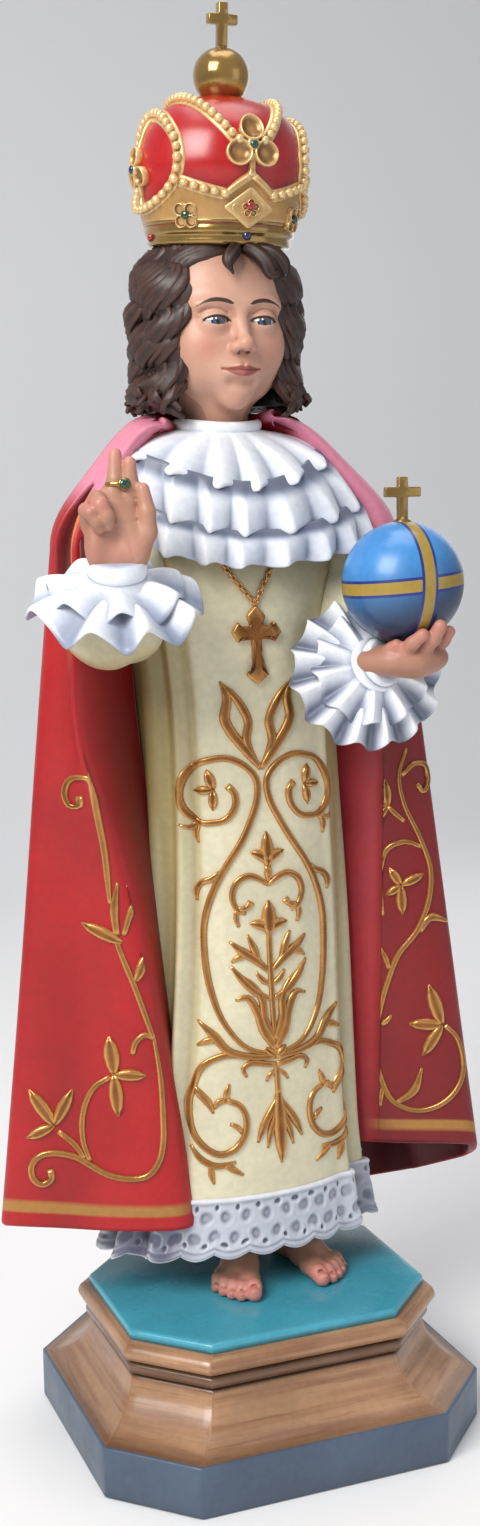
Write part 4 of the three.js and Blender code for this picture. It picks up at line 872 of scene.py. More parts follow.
# Cape
CAPE_HEM = [(-54, 4, 75), (-76, -38, 73), (-143, -20, 75), (-218, 12, 81), (-207, 72, 61), (-121, 116, 38),
            (-6, 126, 28), (101, 116, 30), (184, 82, 45), (224, 22, 74), (203, -30, 102), (121, 2, 106),
            (83, 34, 106)]
CAPE_SHOULDER = [(-100, 14, 637), (-150, -28, 637), (-160, -12, 639), (-163, 14, 642), (-140, 54, 647),
                 (-80, 80, 652), (-10, 88, 654), (60, 80, 652), (118, 56, 649), (142, 20, 647),
                 (142, -6, 645), (120, -24, 643), (84, 10, 643)]
CAPE_NECK = [(-56, 10, 736), (-70, -10, 742), (-74, 4, 747), (-72, 20, 750), (-60, 42, 754), (-38, 58, 756),
             (-14, 62, 756), (8, 58, 756), (26, 42, 754), (34, 20, 752), (34, 4, 750), (30, -8, 748),
             (18, 16, 742)]
SHOULDER_AT = 0.2


def cape_fold(u, down):
    free = smooth(u, 0.12, 0.24) * smooth(1 - u, 0.16, 0.26)
    behind = smooth(u, 0.24, 0.32) * smooth(1 - u, 0.24, 0.32)
    main = 5.0 * free * smooth(down, 0, 1) * np.cos(8 * TURN * u)
    soft = 2.5 * free * np.sin(5 * TURN * u + 2.0 * down + 1.0) * smooth(down, 0.1, 0.6)
    crease = np.abs(np.cos(5.5 * TURN * u + 0.5 * np.sin(3 * down) + 0.7 * np.sin(TURN * u))) ** 0.7
    return main + soft - 13.0 * behind * smooth(down, 0.04, 0.75) * (1 - crease)


def shoulder_slot(u, v):
    """How far a place is inside the hollow fold at the left shoulder."""
    spread = smooth(v, 0.11, 0.2)
    start, finish = 0.3 * spread, 0.4 * spread
    wide = between(u * 12, 1.62 - start, 1.74 - start, 2.0 + finish, 2.15 + finish)
    return wide * between(v, 0.112, 0.13, 0.215, 0.3)


def cape_base(u, v):
    shoulder, hem, neck = spline(CAPE_SHOULDER, u), spline(CAPE_HEM, u), spline(CAPE_NECK, u)
    turn = np.clip(v / SHOULDER_AT, 0, 1) * PI / 2
    s, c = np.sin(turn)[..., None], np.cos(turn)[..., None]
    high = np.concatenate([lerp(neck[..., :2], shoulder[..., :2], s),
                           lerp(shoulder[..., 2:], neck[..., 2:], c)], -1)
    share = np.clip(v / SHOULDER_AT, 0, 1)[..., None]
    high = lerp(high, lerp(neck, shoulder, share), 0.5 * np.sin(PI * share))
    down = np.clip((v - SHOULDER_AT) / (1 - SHOULDER_AT), 0, 1)
    point = np.where((v < SHOULDER_AT)[..., None], high, lerp(shoulder, hem, down[..., None]))
    outward = unit(point[..., :2] - [GOWN_MIDDLE[0][1], GOWN_MIDDLE_Y])
    point[..., :2] += outward * (cape_fold(u, down) - 13.0 * shoulder_slot(u, v))[..., None]
    near_edge = hump(u * 12, 1, 0.75)
    aside = -23.0 * hump(down, 0.24, 0.17) + 3.0 * smooth(down, 0.6, 0.95)
    point[..., 0] += aside * near_edge
    return point


def cape_point(u, v, proud=0.0):
    u, v = alike(u, v)
    low_u, high_u = np.maximum(u - 0.004, 0), np.minimum(u + 0.004, 1)
    low_v, high_v = np.maximum(v - 0.01, 0), np.minimum(v + 0.01, 1)
    along = cape_base(high_u, v) - cape_base(low_u, v)
    fall = cape_base(u, high_v) - cape_base(u, low_v)
    normal = unit(np.cross(along, fall))
    return cape_base(u, v) + normal * np.asarray(proud, float)[..., None]


HEM_FROM = 0.94
u = np.linspace(0, 1, 310)
u = u - 0.035 * np.sin(TURN * u)
v = np.concatenate([np.linspace(0, SHOULDER_AT, 31), np.linspace(SHOULDER_AT, HEM_FROM, 35)[1:],
                    np.linspace(HEM_FROM, 1, 21)[1:]])
U, V = np.meshgrid(u, v)
outer = cape_point(U, V)
inner = cape_point(U[::4], V[::4], -9.0)
down = np.clip((V - SHOULDER_AT) / (1 - SHOULDER_AT), 0, 1)
above_hem = outer[..., 2] - spline(CAPE_HEM, U)[..., 2]
band = between(above_hem, 9.5, 10.5, 18.5, 19.5)
twelfth = U * 12
front_edge = np.minimum(smooth(twelfth, 0.6, 1.3), 1 - smooth(twelfth, 10.7, 11.3))
# Painted shade in the folds, along the left front edge, over the right panel and under the left sleeve, and
# in the shoulder fold; a painted highlight on the turned-back edges at the shoulders and faintly on the right
# panel's return.
fold_dark = np.clip(-cape_fold(U, down) / 12, 0, 1)
shade = 0.7 * fold_dark + 0.5 * (1 - smooth(twelfth, 0.3, 0.9)) + 0.6 * smooth(twelfth, 9.2, 10.2)
shade = shade * (1 - 0.8 * smooth(twelfth, 10.9, 11.1))
shade = shade + 0.2 * between(down, 0.1, 0.25, 0.35, 0.7) * (U < 0.5)
light = (1 - smooth(V, 0.11, 0.16)) * between(twelfth, 0.2, 0.8, 2.6, 4.2)
light = np.maximum(light, (1 - smooth(V, 0.17, 0.22)) * between(twelfth, 7.6, 9.2, 11.3, 11.7))
light = np.maximum(light, 0.08 * smooth(twelfth, 11.0, 11.15) * smooth(V, 0.2, 0.24))
slot = shoulder_slot(U, V)
stripe = between(twelfth, 1.2, 1.3, 1.7, 1.95) * between(V, 0.118, 0.14, 0.25, 0.33)
light = light * (1 - slot) * (1 - 0.9 * stripe)
# Inside the sheet: painted shade and the darker lining colour.
cape = Shape().sheet(outer, inner, skip=4, steps=4, inside={"shade": 1.0, "lining": 1.0},
                     shade=np.clip(shade, 0, 1), gold=band * front_edge, light=0.95 * light,
                     lining=smooth(slot, 0.05, 0.4), amber=0.9 * stripe)
piece("cape", cape, RED)


def cape_panel(low_u, high_u, edge_first):
    """One front panel of the cape as a surface of x and z. x falls from low_u to high_u."""

    def at(u, z, proud):
        top, low = spline(CAPE_SHOULDER, u)[..., 2], spline(CAPE_HEM, u)[..., 2]
        share = np.clip((top - z) / (top - low), 0, 1)
        return cape_point(u, SHOULDER_AT + (1 - SHOULDER_AT) * share, proud)

    def surface(x, z, proud):
        x, z, proud = alike(x, z, proud)
        low, high = np.full(x.shape, low_u), np.full(x.shape, high_u)
        if edge_first:
            x = np.minimum(x, at(low, z, 0.0)[..., 0] - 2.0)
        else:
            x = np.maximum(x, at(high, z, 0.0)[..., 0] + 2.0)
        for _ in range(18):
            middle = (low + high) / 2
            beyond = at(middle, z, 0.0)[..., 0] > x
            low, high = np.where(beyond, middle, low), np.where(beyond, high, middle)
        return at((low + high) / 2, z, proud)

    return surface


left_panel, right_panel = cape_panel(1.0 / 12, 3.2 / 12, True), cape_panel(9.0 / 12, 11.0 / 12, False)
LEFT_VINES = [
    ([(-93, 238), (-88, 205), (-86, 172), (-86, 146), (-90, 129), (-99, 118), (-115, 116), (-130, 120),
      (-143, 128), (-154, 135), (-172, 139), (-182, 137), (-189, 129), (-188, 117), (-181, 112),
      (-174, 117), (-175, 125)], [3, 5, 5.5, 5.5, 5.5, 5.5, 6]),
    ([(-143, 131), (-148, 148), (-149, 166), (-146, 182), (-139, 196), (-127, 205)], [4, 5, 5, 4.5]),
    ([(-147, 133), (-155, 146), (-168, 158)], [4, 5, 4.5]),
    ([(-93, 238), (-101, 241), (-108, 234), (-110, 224)], [4, 5, 5, 4]),
    ([(-93, 236), (-101, 260), (-109, 284), (-115, 300), (-120, 314), (-123, 324)], [4, 5, 5, 5, 4]),
    ([(-122, 326), (-124, 348), (-122, 371)], [5, 7, 2]),
    ([(-117, 326), (-110, 350), (-99, 368)], [4, 6, 2]),
    ([(-144, 478), (-144, 462), (-141, 444), (-137, 424), (-132, 398), (-127, 352)], [3, 5, 5, 5, 5, 3]),
    ([(-141, 447), (-146, 458), (-155, 455), (-159, 443), (-155, 433), (-149, 434), (-150, 442)],
     [4, 5, 5, 4.5]),
]
LEFT_LEAVES = [((-124, 207), (-128, 240), 13), ((-124, 207), (-99, 206), 11), ((-124, 207), (-121, 170), 12),
               ((-171, 163), (-190, 194), 12), ((-171, 163), (-156, 194), 11), ((-171, 163), (-193, 152), 10),
               ((-118, 320), (-148, 336), 11), ((-108, 286), (-98, 312), 9)]
RIGHT_VINES = [
    ([(146, 467), (140, 443), (145, 418), (160, 387), (170, 359), (169, 332), (159, 304), (144, 282),
      (136, 257), (130, 226), (128, 192), (135, 162), (144, 145), (163, 137), (184, 144), (199, 161),
      (203, 180), (196, 204), (185, 216)], [3, 4.5, 5, 5, 5, 5, 4.5]),
    ([(142, 443), (154, 453), (165, 451), (169, 437), (163, 428), (157, 435)], [4, 5, 5, 4.5]),
    ([(131, 416), (139, 408), (146, 402)], [4, 4.5, 4]),
    ([(162, 379), (146, 384), (132, 378), (127, 361), (130, 317)], [4, 5, 5, 4, 3]),
    ([(161, 302), (170, 315), (190, 309)], [4, 8, 2]),
    ([(146, 143), (160, 156), (166, 177)], [4, 8, 2]),
    ([(137, 268), (133, 280), (129, 288)], [4, 5, 2]),
    ([(131, 216), (136, 220), (140, 226)], [4, 5, 2]),
    ([(136, 160), (134, 150), (134, 139)], [4, 5, 2]),
]
RIGHT_LEAVES = [((182, 217), (170, 254), 13), ((182, 217), (154, 218), 12), ((182, 217), (166, 188), 11),
                ((131, 416), (128, 440), 9), ((131, 416), (113, 430), 8), ((131, 416), (118, 399), 8),
                ((144, 345), (134, 361), 9), ((144, 345), (164, 355), 9), ((144, 345), (146, 318), 10),
                ((144, 345), (132, 336), 8)]


def upright(place):
    x, z = place
    return x + 0.0189 * (z - 670.7), z - 0.0164 * x


vines = Shape()
sides = (left_panel, LEFT_VINES, LEFT_LEAVES), (right_panel, RIGHT_VINES, RIGHT_LEAVES)
for surface, strokes, leaves in sides:
    for path, widths in strokes:
        relief(vines, surface, [upright(p) for p in path], widths, 2.8)
    for root, tip, width in leaves:
        lobe(vines, surface, upright(root), upright(tip), width, height=3.0)
relief(vines, right_panel, [upright((113, 466)), upright((119, 290)), upright((125, 113))], [5, 5, 5], 0.9)
piece("cape_vines", vines, ORNAMENT)

# Collar
COLLAR_MIDDLE = (-15, 18)
COLLAR_NECK = (38, 38, 36, 735, 739)
COLLAR_TIERS = [(93, 97, 75, 694, 726), (100, 130, 82, 658, 688), (105, 142, 88, 633, 656)]
COLLAR_BACK = 46
COLLAR_COLUMNS = 400
RUFFLES = (16, 20, 22)


def collar_point(a, ring, proud=0.0):
    left, right, deep, front, side = (np.asarray(v, float) for v in ring)
    wide = lerp(left, right, smooth(np.sin(a), -0.5, 0.5))
    reach = np.where(np.cos(a) > 0, deep, np.minimum(deep, COLLAR_BACK))
    x = COLLAR_MIDDLE[0] + wide * np.sin(a) + np.sin(a) * 0.6 * proud
    y = COLLAR_MIDDLE[1] - reach * np.cos(a) - np.cos(a) * 0.6 * proud
    return np.stack([x, y, lerp(front, side, np.sin(a) ** 2) + 0.8 * proud], -1)


collar = Shape()
a = circle(COLLAR_COLUMNS) - PI
before = COLLAR_NECK
for number, (tier, ruffles) in enumerate(zip(COLLAR_TIERS, RUFFLES)):
    start = before
    if number:
        start = [lerp(b, t, -0.3) - 10 * (k > 2) for k, (b, t) in enumerate(zip(before, tier))]
    S, A = np.meshgrid(np.linspace(0, 1, 16), a, indexing="ij")
    phase = ruffles * A + 0.5 * np.sin(3 * A + 2.1 * number) + 0.3 * np.sin(7 * A + number) + 1.9 * number
    wave = np.arcsin(0.96 * np.sin(phase + 0.4 * np.sin(phase))) / 1.287
    grow = (0.1 + 0.9 * S**1.2) * (0.3 + 0.7 * smooth(np.cos(A), -0.7, 0.1))
    ring = [lerp(s, t, S) for s, t in zip(start, tier)]
    top = collar_point(A, ring, 2.5 * np.sin(S * PI) - 2.0 * S**3)
    out = np.stack([np.sin(A), -np.cos(A), -0.35 + 0 * A], -1)
    top = top + out * (6.0 * grow * wave)[..., None]
    top[..., 2] += 2.2 * grow * S * np.sin(phase - 0.9)
    under = top - np.stack([0.5 * np.sin(A), -0.5 * np.cos(A), 0.8 + 0 * A], -1) * 4.2
    # Painted shade in the ruffles' valleys, under the tier above and on the underside.
    gap = np.clip(0.45 - 0.6 * wave, 0, 1) * grow
    below = (1 - smooth(S, 0.3, 0.55)) * bool(number)
    deep = 0.85 * (1 - smooth(S, 0.22, 0.42)) * bool(number)
    collar.sheet(top, under[::3], around=True, skip=3, inside={"shade": 0.9, "deep": 0.5},
                 shade=np.clip(0.7 * gap + 0.8 * below, 0, 1), deep=deep)
    before = tier
band_rows = []
for t in circle(14):
    ring = [size - 3.0 + 3.6 * math.sin(t) for size in COLLAR_NECK[:3]]
    band_rows.append(collar_point(a, (*ring, 739 + 5.0 * math.cos(t), 743 + 5.0 * math.cos(t))))
collar.loop(np.array(band_rows))
piece("collar", collar, LACE)

# Sleeves and cuffs
RIGHT_CUFF, RIGHT_ALONG = np.array([-139, -86, 604.0]), unit(np.array([-0.08, -0.34, 0.93]))
LEFT_CUFF, LEFT_ALONG = np.array([77, -78, 539.0]), unit(np.array([-0.12, -0.93, 0.35]))
FRILL_THICKNESS = 4.2


def frill(shape, cuff, along, reach, start, fall, turn, waves, depth, sway, deepness=0.2, crisp=0.94):
    """A ruffled cuff spreading from its wrist, wavy at its edge."""
    side = unit(np.cross([1.0, 0, 0], along))
    over = np.cross(along, side)
    S, T = np.meshgrid(np.linspace(0.3, 1, 25), circle(224), indexing="ij")
    phase = waves * T + turn + sway * np.sin(2 * T + turn) + 0.5 * sway * np.sin(3 * T)
    wave = np.arcsin(crisp * np.sin(phase + 0.35 * np.sin(phase))) / math.asin(crisp)
    grow = smooth(S, 0.2, 1.0)

    def at(extra):
        r = reach * S * (1 + 0.04 * grow * np.cos(phase))
        lift = start - fall * S**2.4 + grow * depth * wave + extra
        p = cuff + side * (r * np.cos(T))[..., None] + over * (r * np.sin(T))[..., None]
        return p + along * lift[..., None]

    # Painted shade in the valleys, near the wrist and on the underside.
    low = np.clip(0.5 - 0.7 * wave, 0, 1) * grow
    dark = np.clip(0.95 * low + 0.6 * (1 - smooth(S, 0.36, 0.56)), 0, 1)
    deep = np.clip(0.6 * (1 - smooth(S, 0.3, 0.46)) + deepness * low**2, 0, 1)
    shape.sheet(at(0.0), at(-FRILL_THICKNESS)[::3], around=True, skip=3, inside={"shade": 0.9, "deep": 0.3},
                shade=dark, deep=deep)


def wristband(shape, path, radii):
    """Two stacked rolled bands round a wrist."""
    share = np.linspace(0, 1, 32)
    line = spline(path, share)
    size = np.interp(share, np.linspace(0, 1, len(radii)), radii)
    roll = np.clip(np.abs(np.sin(share * 2 * PI)), 0, 1) ** 0.35
    size = size - 2.6 + 2.6 * roll + 1.2 * (share < 0.5)
    size[0], size[-1] = size[1] - 5, size[-2] - 6
    # Painted shade in the groove between the two bands.
    shade = np.repeat(0.8 * (1 - roll), 56).reshape(32, 56)
    shape.grid(tube_rings(line, size, 56, (1, 0, 0)), shade=shade)


cuffs = Shape()
frill(cuffs, RIGHT_CUFF, RIGHT_ALONG, 66, 15, 16, 0.4, 8, 8.5, sway=0.7, crisp=0.6)
frill(cuffs, RIGHT_CUFF, RIGHT_ALONG, 51, 22, 11, 2.4, 7, 7.0, sway=0.7, crisp=0.6)
wristband(cuffs, [(-139.6, -91, 613), (-141, -97, 625), (-142, -101, 637)], [25.5, 23.5, 21.5])
frill(cuffs, LEFT_CUFF, LEFT_ALONG, 61, 14, 15, 0.0, 13, 9.5, sway=0.35, deepness=0.8)
frill(cuffs, LEFT_CUFF, LEFT_ALONG, 46, 22, 9, PI, 10, 7.5, sway=0.35, deepness=0.8)
wristband(cuffs, [(76, -94, 545), (77.5, -101, 548), (80.5, -108, 550)], [22.5, 21.0, 19.5])
piece("cuffs", cuffs, LACE)


def sleeve_field(joints, radii, elbow, folds):
    """A sleeve along its joints, with an elbow's bulge if it has one and folds across it."""

    def field(x, y, z):
        d = chain((x, y, z), joints, radii, 14)
        if elbow:
            d = near(d, oval((x, y, z), *elbow), 12)
        for axis, pitch, depth, phase in folds:
            d = d + depth * np.sin((x * axis[0] + y * axis[1] + z * axis[2]) / pitch + phase)
        return d

    return field


sleeves = Shape()
right = sleeve_field([(-100, 8, 668), (-114, -18, 626), (-132, -50, 592)], (24, 30, 37),
                     [(-136, -66, 590), (43, 41, 40)],
                     [((0.7, 0.2, 0.55), 5.2, 1.5, 0.0), ((0.25, 0.9, -0.3), 8.5, 1.2, 1.0)])
left = sleeve_field([(84, 8, 668), (96, -6, 610), (92, -34, 560), (77, -64, 545)], (26, 33, 36, 26), None,
                    [((0.6, 0.5, 0.3), 5.6, 1.5, 0.4), ((0.1, -0.7, 0.7), 8.0, 1.2, 0.0)])
sleeves.add(*field_mesh((-190, -120, 540), (-60, 50, 706), 2.8, right))
sleeves.add(*field_mesh((30, -112, 500), (146, 50, 706), 2.8, left))
# Painted shade low on the sleeves, near the cuffs.
low = smooth(-(np.vstack(sleeves.points)[:, 2]), -600, -556)
sleeves.masks["shade"] = [0.55 * low]
piece("sleeves", sleeves, CREAM)

# Pendant and chain
HALF_CROSS = [(0, 0), (10, 9), (4, 13), (4, 38.6), (13, 38.6), (15, 34.6), (21, 43.6), (15, 52.6), (13, 48.6),
              (5, 48.6), (8, 57), (0, 66)]


def plate(shape, surface, outline, height, bevel=1.2):
    """A bevelled plate laid on a surface."""
    out, middle = outward_of(outline), outline.mean(0)
    rows = []
    for inset, lift in ((0, -2.5), (0, height - bevel), (0.3 * bevel, height - 0.3 * bevel), (bevel, height)):
        flat = outline - out * inset
        rows.append(surface(flat[:, 0], flat[:, 1], lift))
    for share in (0.66, 0.33):
        flat = middle + (outline - out * bevel - middle) * share
        rows.append(surface(flat[:, 0], flat[:, 1], height))
    shape.grid(np.array(rows))


pendant = Shape()
half = [(x, 530 + z) for x, z in HALF_CROSS]
outline = rounded(half + [(-x, z) for x, z in half[-2:0:-1]], 2.2, 4)
plate(pendant, front_point, outline, 5.0, 1.4)
for path in ([(0, 538), (0, 560), (0, 588)], [(-15, 573.6), (0, 573.6), (15, 573.6)]):
    relief(pendant, raised(front_point, 3.4), path, [2, 4, 2], 2.2)
LINK_LENGTH, LINK_WIDTH, WIRE_RADIUS, LINK_PITCH = 3.1, 1.9, 0.85, 4.1
t, s = circle(14), circle(7)
for end in ((-34, 640), (22, 640)):
    path = path_points([(0, 597), (0.45 * end[0], lerp(597, 640, 0.42)), end], LINK_PITCH)
    for k, (here, after) in enumerate(zip(path[:-1], path[1:])):
        way = unit(after - here)
        cross = np.array([-way[1], way[0]])
        flat = k % 2 == 0
        long, wide = LINK_LENGTH * np.cos(t)[:, None] * way, LINK_WIDTH * np.sin(t)[:, None] * cross
        lift = 2.4 + (0 if flat else 1.6) * np.sin(t)
        line = front_point(*((here + after) / 2 + long + (wide if flat else 0.35 * wide)).T, lift)
        along = unit(np.roll(line, -1, 0) - np.roll(line, 1, 0))
        side = unit(np.cross(along, line - line.mean(0)))
        over = np.cross(along, side)
        turned = side[:, None] * np.cos(s)[None, :, None] + over[:, None] * np.sin(s)[None, :, None]
        pendant.loop(line[:, None] + WIRE_RADIUS * turned)
piece("pendant_chain", pendant, ORNAMENT)

# Globe
GLOBE_CENTRE, GLOBE_RADIUS = np.array([94.0, -110.0, 612.3]), 49.0
points, faces = ball(np.zeros(3), GLOBE_RADIUS, 124, 80)
x, z = points[:, 0], points[:, 2]
tilt = math.radians(5)
height = z * math.cos(tilt) - x * math.sin(tilt)
# low: painted shade towards the bottom and the right of the ball.
globe = Shape().add(points + GLOBE_CENTRE, faces, band=0.5 + np.abs(height) / 100,
                    stripe=0.5 + np.abs(x) / 100, low=0.97 * smooth(-z + 0.35 * x, -34, 30))
piece("globe_ball", globe, GLOBE, ["globe"])


def cross(shape, foot, height, span, bar, thickness, arm):
    """An upright cross. arm is the height of its bar's middle."""
    h = bar / 2
    half = [(h, 0), (h, arm - h), (span / 2, arm - h), (span / 2, arm + h), (h, arm + h), (h, height)]
    outline = rounded(half + [(-x, z) for x, z in half[::-1]], 1.2, 3)
    points, faces = slab_of(outline, thickness, 0.9)
    shape.add(points + np.asarray(foot, float), faces)


top_cross = Shape()
globe_top = GLOBE_CENTRE + [0, 0, GLOBE_RADIUS - 1]
cross(top_cross, globe_top, 36, 31, 8, 6, 24)
points, faces = lathe([(0, 0), (7.5, 0), (7.2, 1.4), (4.6, 2.6), (4.4, 4.2), (0, 4.6)], 40)
top_cross.add(points + globe_top, faces)
piece("globe_cross", top_cross, BRASS)

# Crown
CROWN_PROFILE = [(0, 57.5), (27, 65), (44.8, 67.5), (62, 70.5), (84, 65.5), (98, 56), (108, 43), (114, 27),
                 (116.5, 16)]
lean = math.radians(5)
CROWN_TURN = np.array([[1, 0, 0], [0, math.cos(lean), -math.sin(lean)], [0, math.sin(lean), math.cos(lean)]])
CROWN_ORIGIN = np.array([-8.5, 19.97, 1011.6 - SLAB_TOP])
CROWN_TOP = 116.5
CROWN_REACH = 64.0
ROSE_HEIGHT, SIDE_ROSE_HEIGHT, LOZENGE_HEIGHT, TILE_HEIGHT = 72.8, 56.7, 26.5, 20.5
SIDE_RING_HEIGHT, SIDE_RING_TALL, SIDE_RING_WIDE = 62.7, 35.8, 42


def crowned(shape):
    """Turns a shape from the crown's own frame to its tilted place."""
    shape.points = [p @ CROWN_TURN.T + CROWN_ORIGIN for p in shape.points]
    return shape


def crown_radius(z):
    return curve_at(CROWN_PROFILE, z)


def crown_side(base):
    """The crown's wall about an angle, as a surface of the length round it and the height."""

    def surface(aside, z, proud):
        aside, z, proud = alike(aside, z, proud)
        r = crown_radius(z)
        angle = base + aside / CROWN_REACH
        heights = np.arange(117.0)
        lean_out = -np.interp(z, heights, np.gradient(crown_radius(heights)))
        size = np.sqrt(1 + lean_out**2)
        out, up = proud / size, proud * lean_out / size
        return np.stack([(r + out) * np.sin(angle), -(r + out) * np.cos(angle), z + up], -1)

    return surface


def cap_edge(angle):
    """Height at which the red cap starts above the base band, at an angle from the front or the back."""
    a = np.degrees(np.abs((np.asarray(angle, float) + PI / 2) % PI - PI / 2))
    roof = 50.5 - 15.0 * np.clip(a / 15, 0, 1)
    strand = 35.5 + 12 * np.clip((a - 15) / 37, 0, 1) ** 1.3
    round_ring = np.sqrt(np.clip(1 - ((90 - a) / SIDE_RING_WIDE) ** 2, 0, 1))
    side = SIDE_RING_HEIGHT - SIDE_RING_TALL * round_ring
    return np.where(a < 15, roof, np.where(a < 52, strand, np.minimum(side, 47.5)))


profile = [(0, 11)] + [(crown_radius(z), z) for z in np.linspace(12, CROWN_TOP, 56)] + [(0, CROWN_TOP + 1)]
points, faces = lathe(profile, 128)
# The red cap is darker just above the gold trim: painted shade.
edge_dark = 1 - smooth(points[:, 2] - cap_edge(np.arctan2(points[:, 0], -points[:, 1])), 0, 16)
cap = Shape().add(points, faces, shade=0.6 * edge_dark)
piece("crown_cap", crowned(cap), ENAMEL, ["crown"])

rim = Shape()
rim_profile = [(0, -1.5), (52, -1.5), (57.8, -1.2), (58.9, -0.2), (59.3, 2.6), (58.6, 4.6), (59.6, 6.6),
               (61.2, 7.4), (61.8, 9.2), (61.8, 13.0), (61.0, 14.2), (62.4, 14.8), (63.4, 15.8),
               (63.4, 17.0), (62.4, 17.9), (55, 18.2), (0, 18.2)]
rim.add(*lathe(rim_profile, 128))
ORB_RADIUS, ORB_HEIGHT = 23, 132.1
ball_curve = [(ORB_RADIUS * math.sin(t) * (1 - 0.05 * math.cos(t)), ORB_HEIGHT - ORB_RADIUS * math.cos(t))
              for t in np.linspace(0.05, PI - 0.05, 48)]
rim.add(*lathe([(0, ORB_HEIGHT - ORB_RADIUS)] + ball_curve + [(0, ORB_HEIGHT + ORB_RADIUS)], 72))
rim.add(*lathe([(0, 152.6), (7, 153), (5.6, 154.4), (4.4, 156), (0, 156.6)], 40))
cross(rim, (0, 0, ORB_HEIGHT + 17), 40, 25, 8, 8, 27)
piece("crown_rim_ball", crowned(rim), BRASS)


BEAD_RADIUS = 3.7
PETAL_CUP = [(1.0, -2.0), (1.01, 0.5), (0.98, 0.86), (0.93, 1.0), (0.87, 0.98), (0.8, 0.78), (0.68, 0.5),
             (0.5, 0.3), (0.28, 0.2), (0.1, 0.18)]
THREE_PETALS, FIVE_PETALS, FOUR_PETALS = (90, 212, 328), range(18, 378, 72), (45, 135, 225, 315)


def bead_run(points, spacing=8.4):
    """Beads in a row along points."""
    for centre, run in zip(*evenly(points, spacing, 2)):
        beads.add(*ball(centre, BEAD_RADIUS * (1 + 0.05 * math.sin(7 * run)), 14, 8))


def petals(surface, z, degrees, inner, radius, height):
    """Cupped round petals with thin raised rims, each turned by its degrees about a place at a height."""
    t = circle(26)
    for bearing in degrees:
        way = np.array([math.cos(math.radians(bearing)), math.sin(math.radians(bearing))])
        cross = np.array([-way[1], way[0]])
        rows = []
        for share, lift in PETAL_CUP:
            along = inner + radius * (1 + share * np.cos(t))
            wide = radius * share * np.sin(t)
            flat = np.array([0, z])[:, None] + way[:, None] * along + cross[:, None] * wide
            rows.append(surface(flat[0], flat[1], height * lift if lift > 0 else -2.0))
        trim.grid(np.array(rows))


def boss(surface, z, radius, height, bevel):
    """A round button."""
    t = circle(18)
    plate(trim, surface, np.stack([radius * np.cos(t), z + radius * np.sin(t)], 1), height, bevel)


trim, beads = Shape(), Shape()
A = np.linspace(0, TURN, 440, endpoint=False)
rows, within = [], []
for share in np.linspace(0, 1, 10):
    z = lerp(17.0, cap_edge(A), share)
    for stack, proud in ((rows, 0.9), (within, -1.5)):
        r = crown_radius(z) + proud
        stack.append(np.stack([r * np.sin(A), -r * np.cos(A), z], -1))
trim.sheet(np.array(rows), np.array(within), around=True, steps=2)
for base in (0, PI):
    surface = crown_side(base)
    petals(surface, ROSE_HEIGHT, THREE_PETALS, 2.2, 9.3, 6.4)
    boss(surface, ROSE_HEIGHT, 4.6, 6.4, 1.5)
    relief(trim, surface, [(0, 68), (0, 60), (0, 54), (0, 48)], [9, 4.5, 5, 10], 4.2, step=1.2)
    lozenge = [(-20.5, LOZENGE_HEIGHT), (0, 10.5), (20.5, LOZENGE_HEIGHT), (0, 42.5)]
    plate(trim, surface, rounded(lozenge, 2.5, 5), 4.2)
    for side in (1, -1):
        relief(trim, surface, [(0, 51.5), (side * 10, 43.5), (side * 19, 35.5)], [6, 6, 5.5], 5.6, step=1.2)
        for path in ([(18, 26.8), (9, 33.8), (0, 40.6)], [(18, 26.2), (9, 19.2), (0, 12.4)]):
            path = [(side * x, z) for x, z in path]
            relief(trim, surface, path, [1.6, 1.8, 1.6], 5.4, step=1.5)
    above_plate = raised(surface, 3.4)
    petals(above_plate, LOZENGE_HEIGHT, FIVE_PETALS, 1.6, 2.6, 2.4)
    for side in (1, -1):
        path = [(side * 5, 22), (side * 9, 24), (side * 13, 26.5), (side * 9, 30)]
        relief(trim, above_plate, path, [2, 3, 3, 1.5], 1.8, step=1.2)
for base in (PI / 2, -PI / 2):
    surface = crown_side(base)
    petals(surface, SIDE_ROSE_HEIGHT, THREE_PETALS, 1.8, 7.6, 5.6)
    boss(surface, SIDE_ROSE_HEIGHT, 4.2, 6.2, 1.5)
    relief(trim, surface, [(0, 46), (0, 36), (0, 26)], [7, 4, 8], 3.8, step=1.2)
    relief(trim, surface, [(0, 66), (0, 78), (0, 96)], [6, 3.5, 6], 3.4, step=1.2)
for base in (PI / 4, 3 * PI / 4, -PI / 4, -3 * PI / 4):
    surface = crown_side(base)
    plate(trim, surface, rounded([(-9, 12), (9, 12), (9, 29), (-9, 29)], 2.0, 4), 1.9, 0.8)
    petals(surface, TILE_HEIGHT, FOUR_PETALS, 1.4, 4.8, 4.2)
    boss(surface, TILE_HEIGHT, 3.2, 3.4, 1.0)

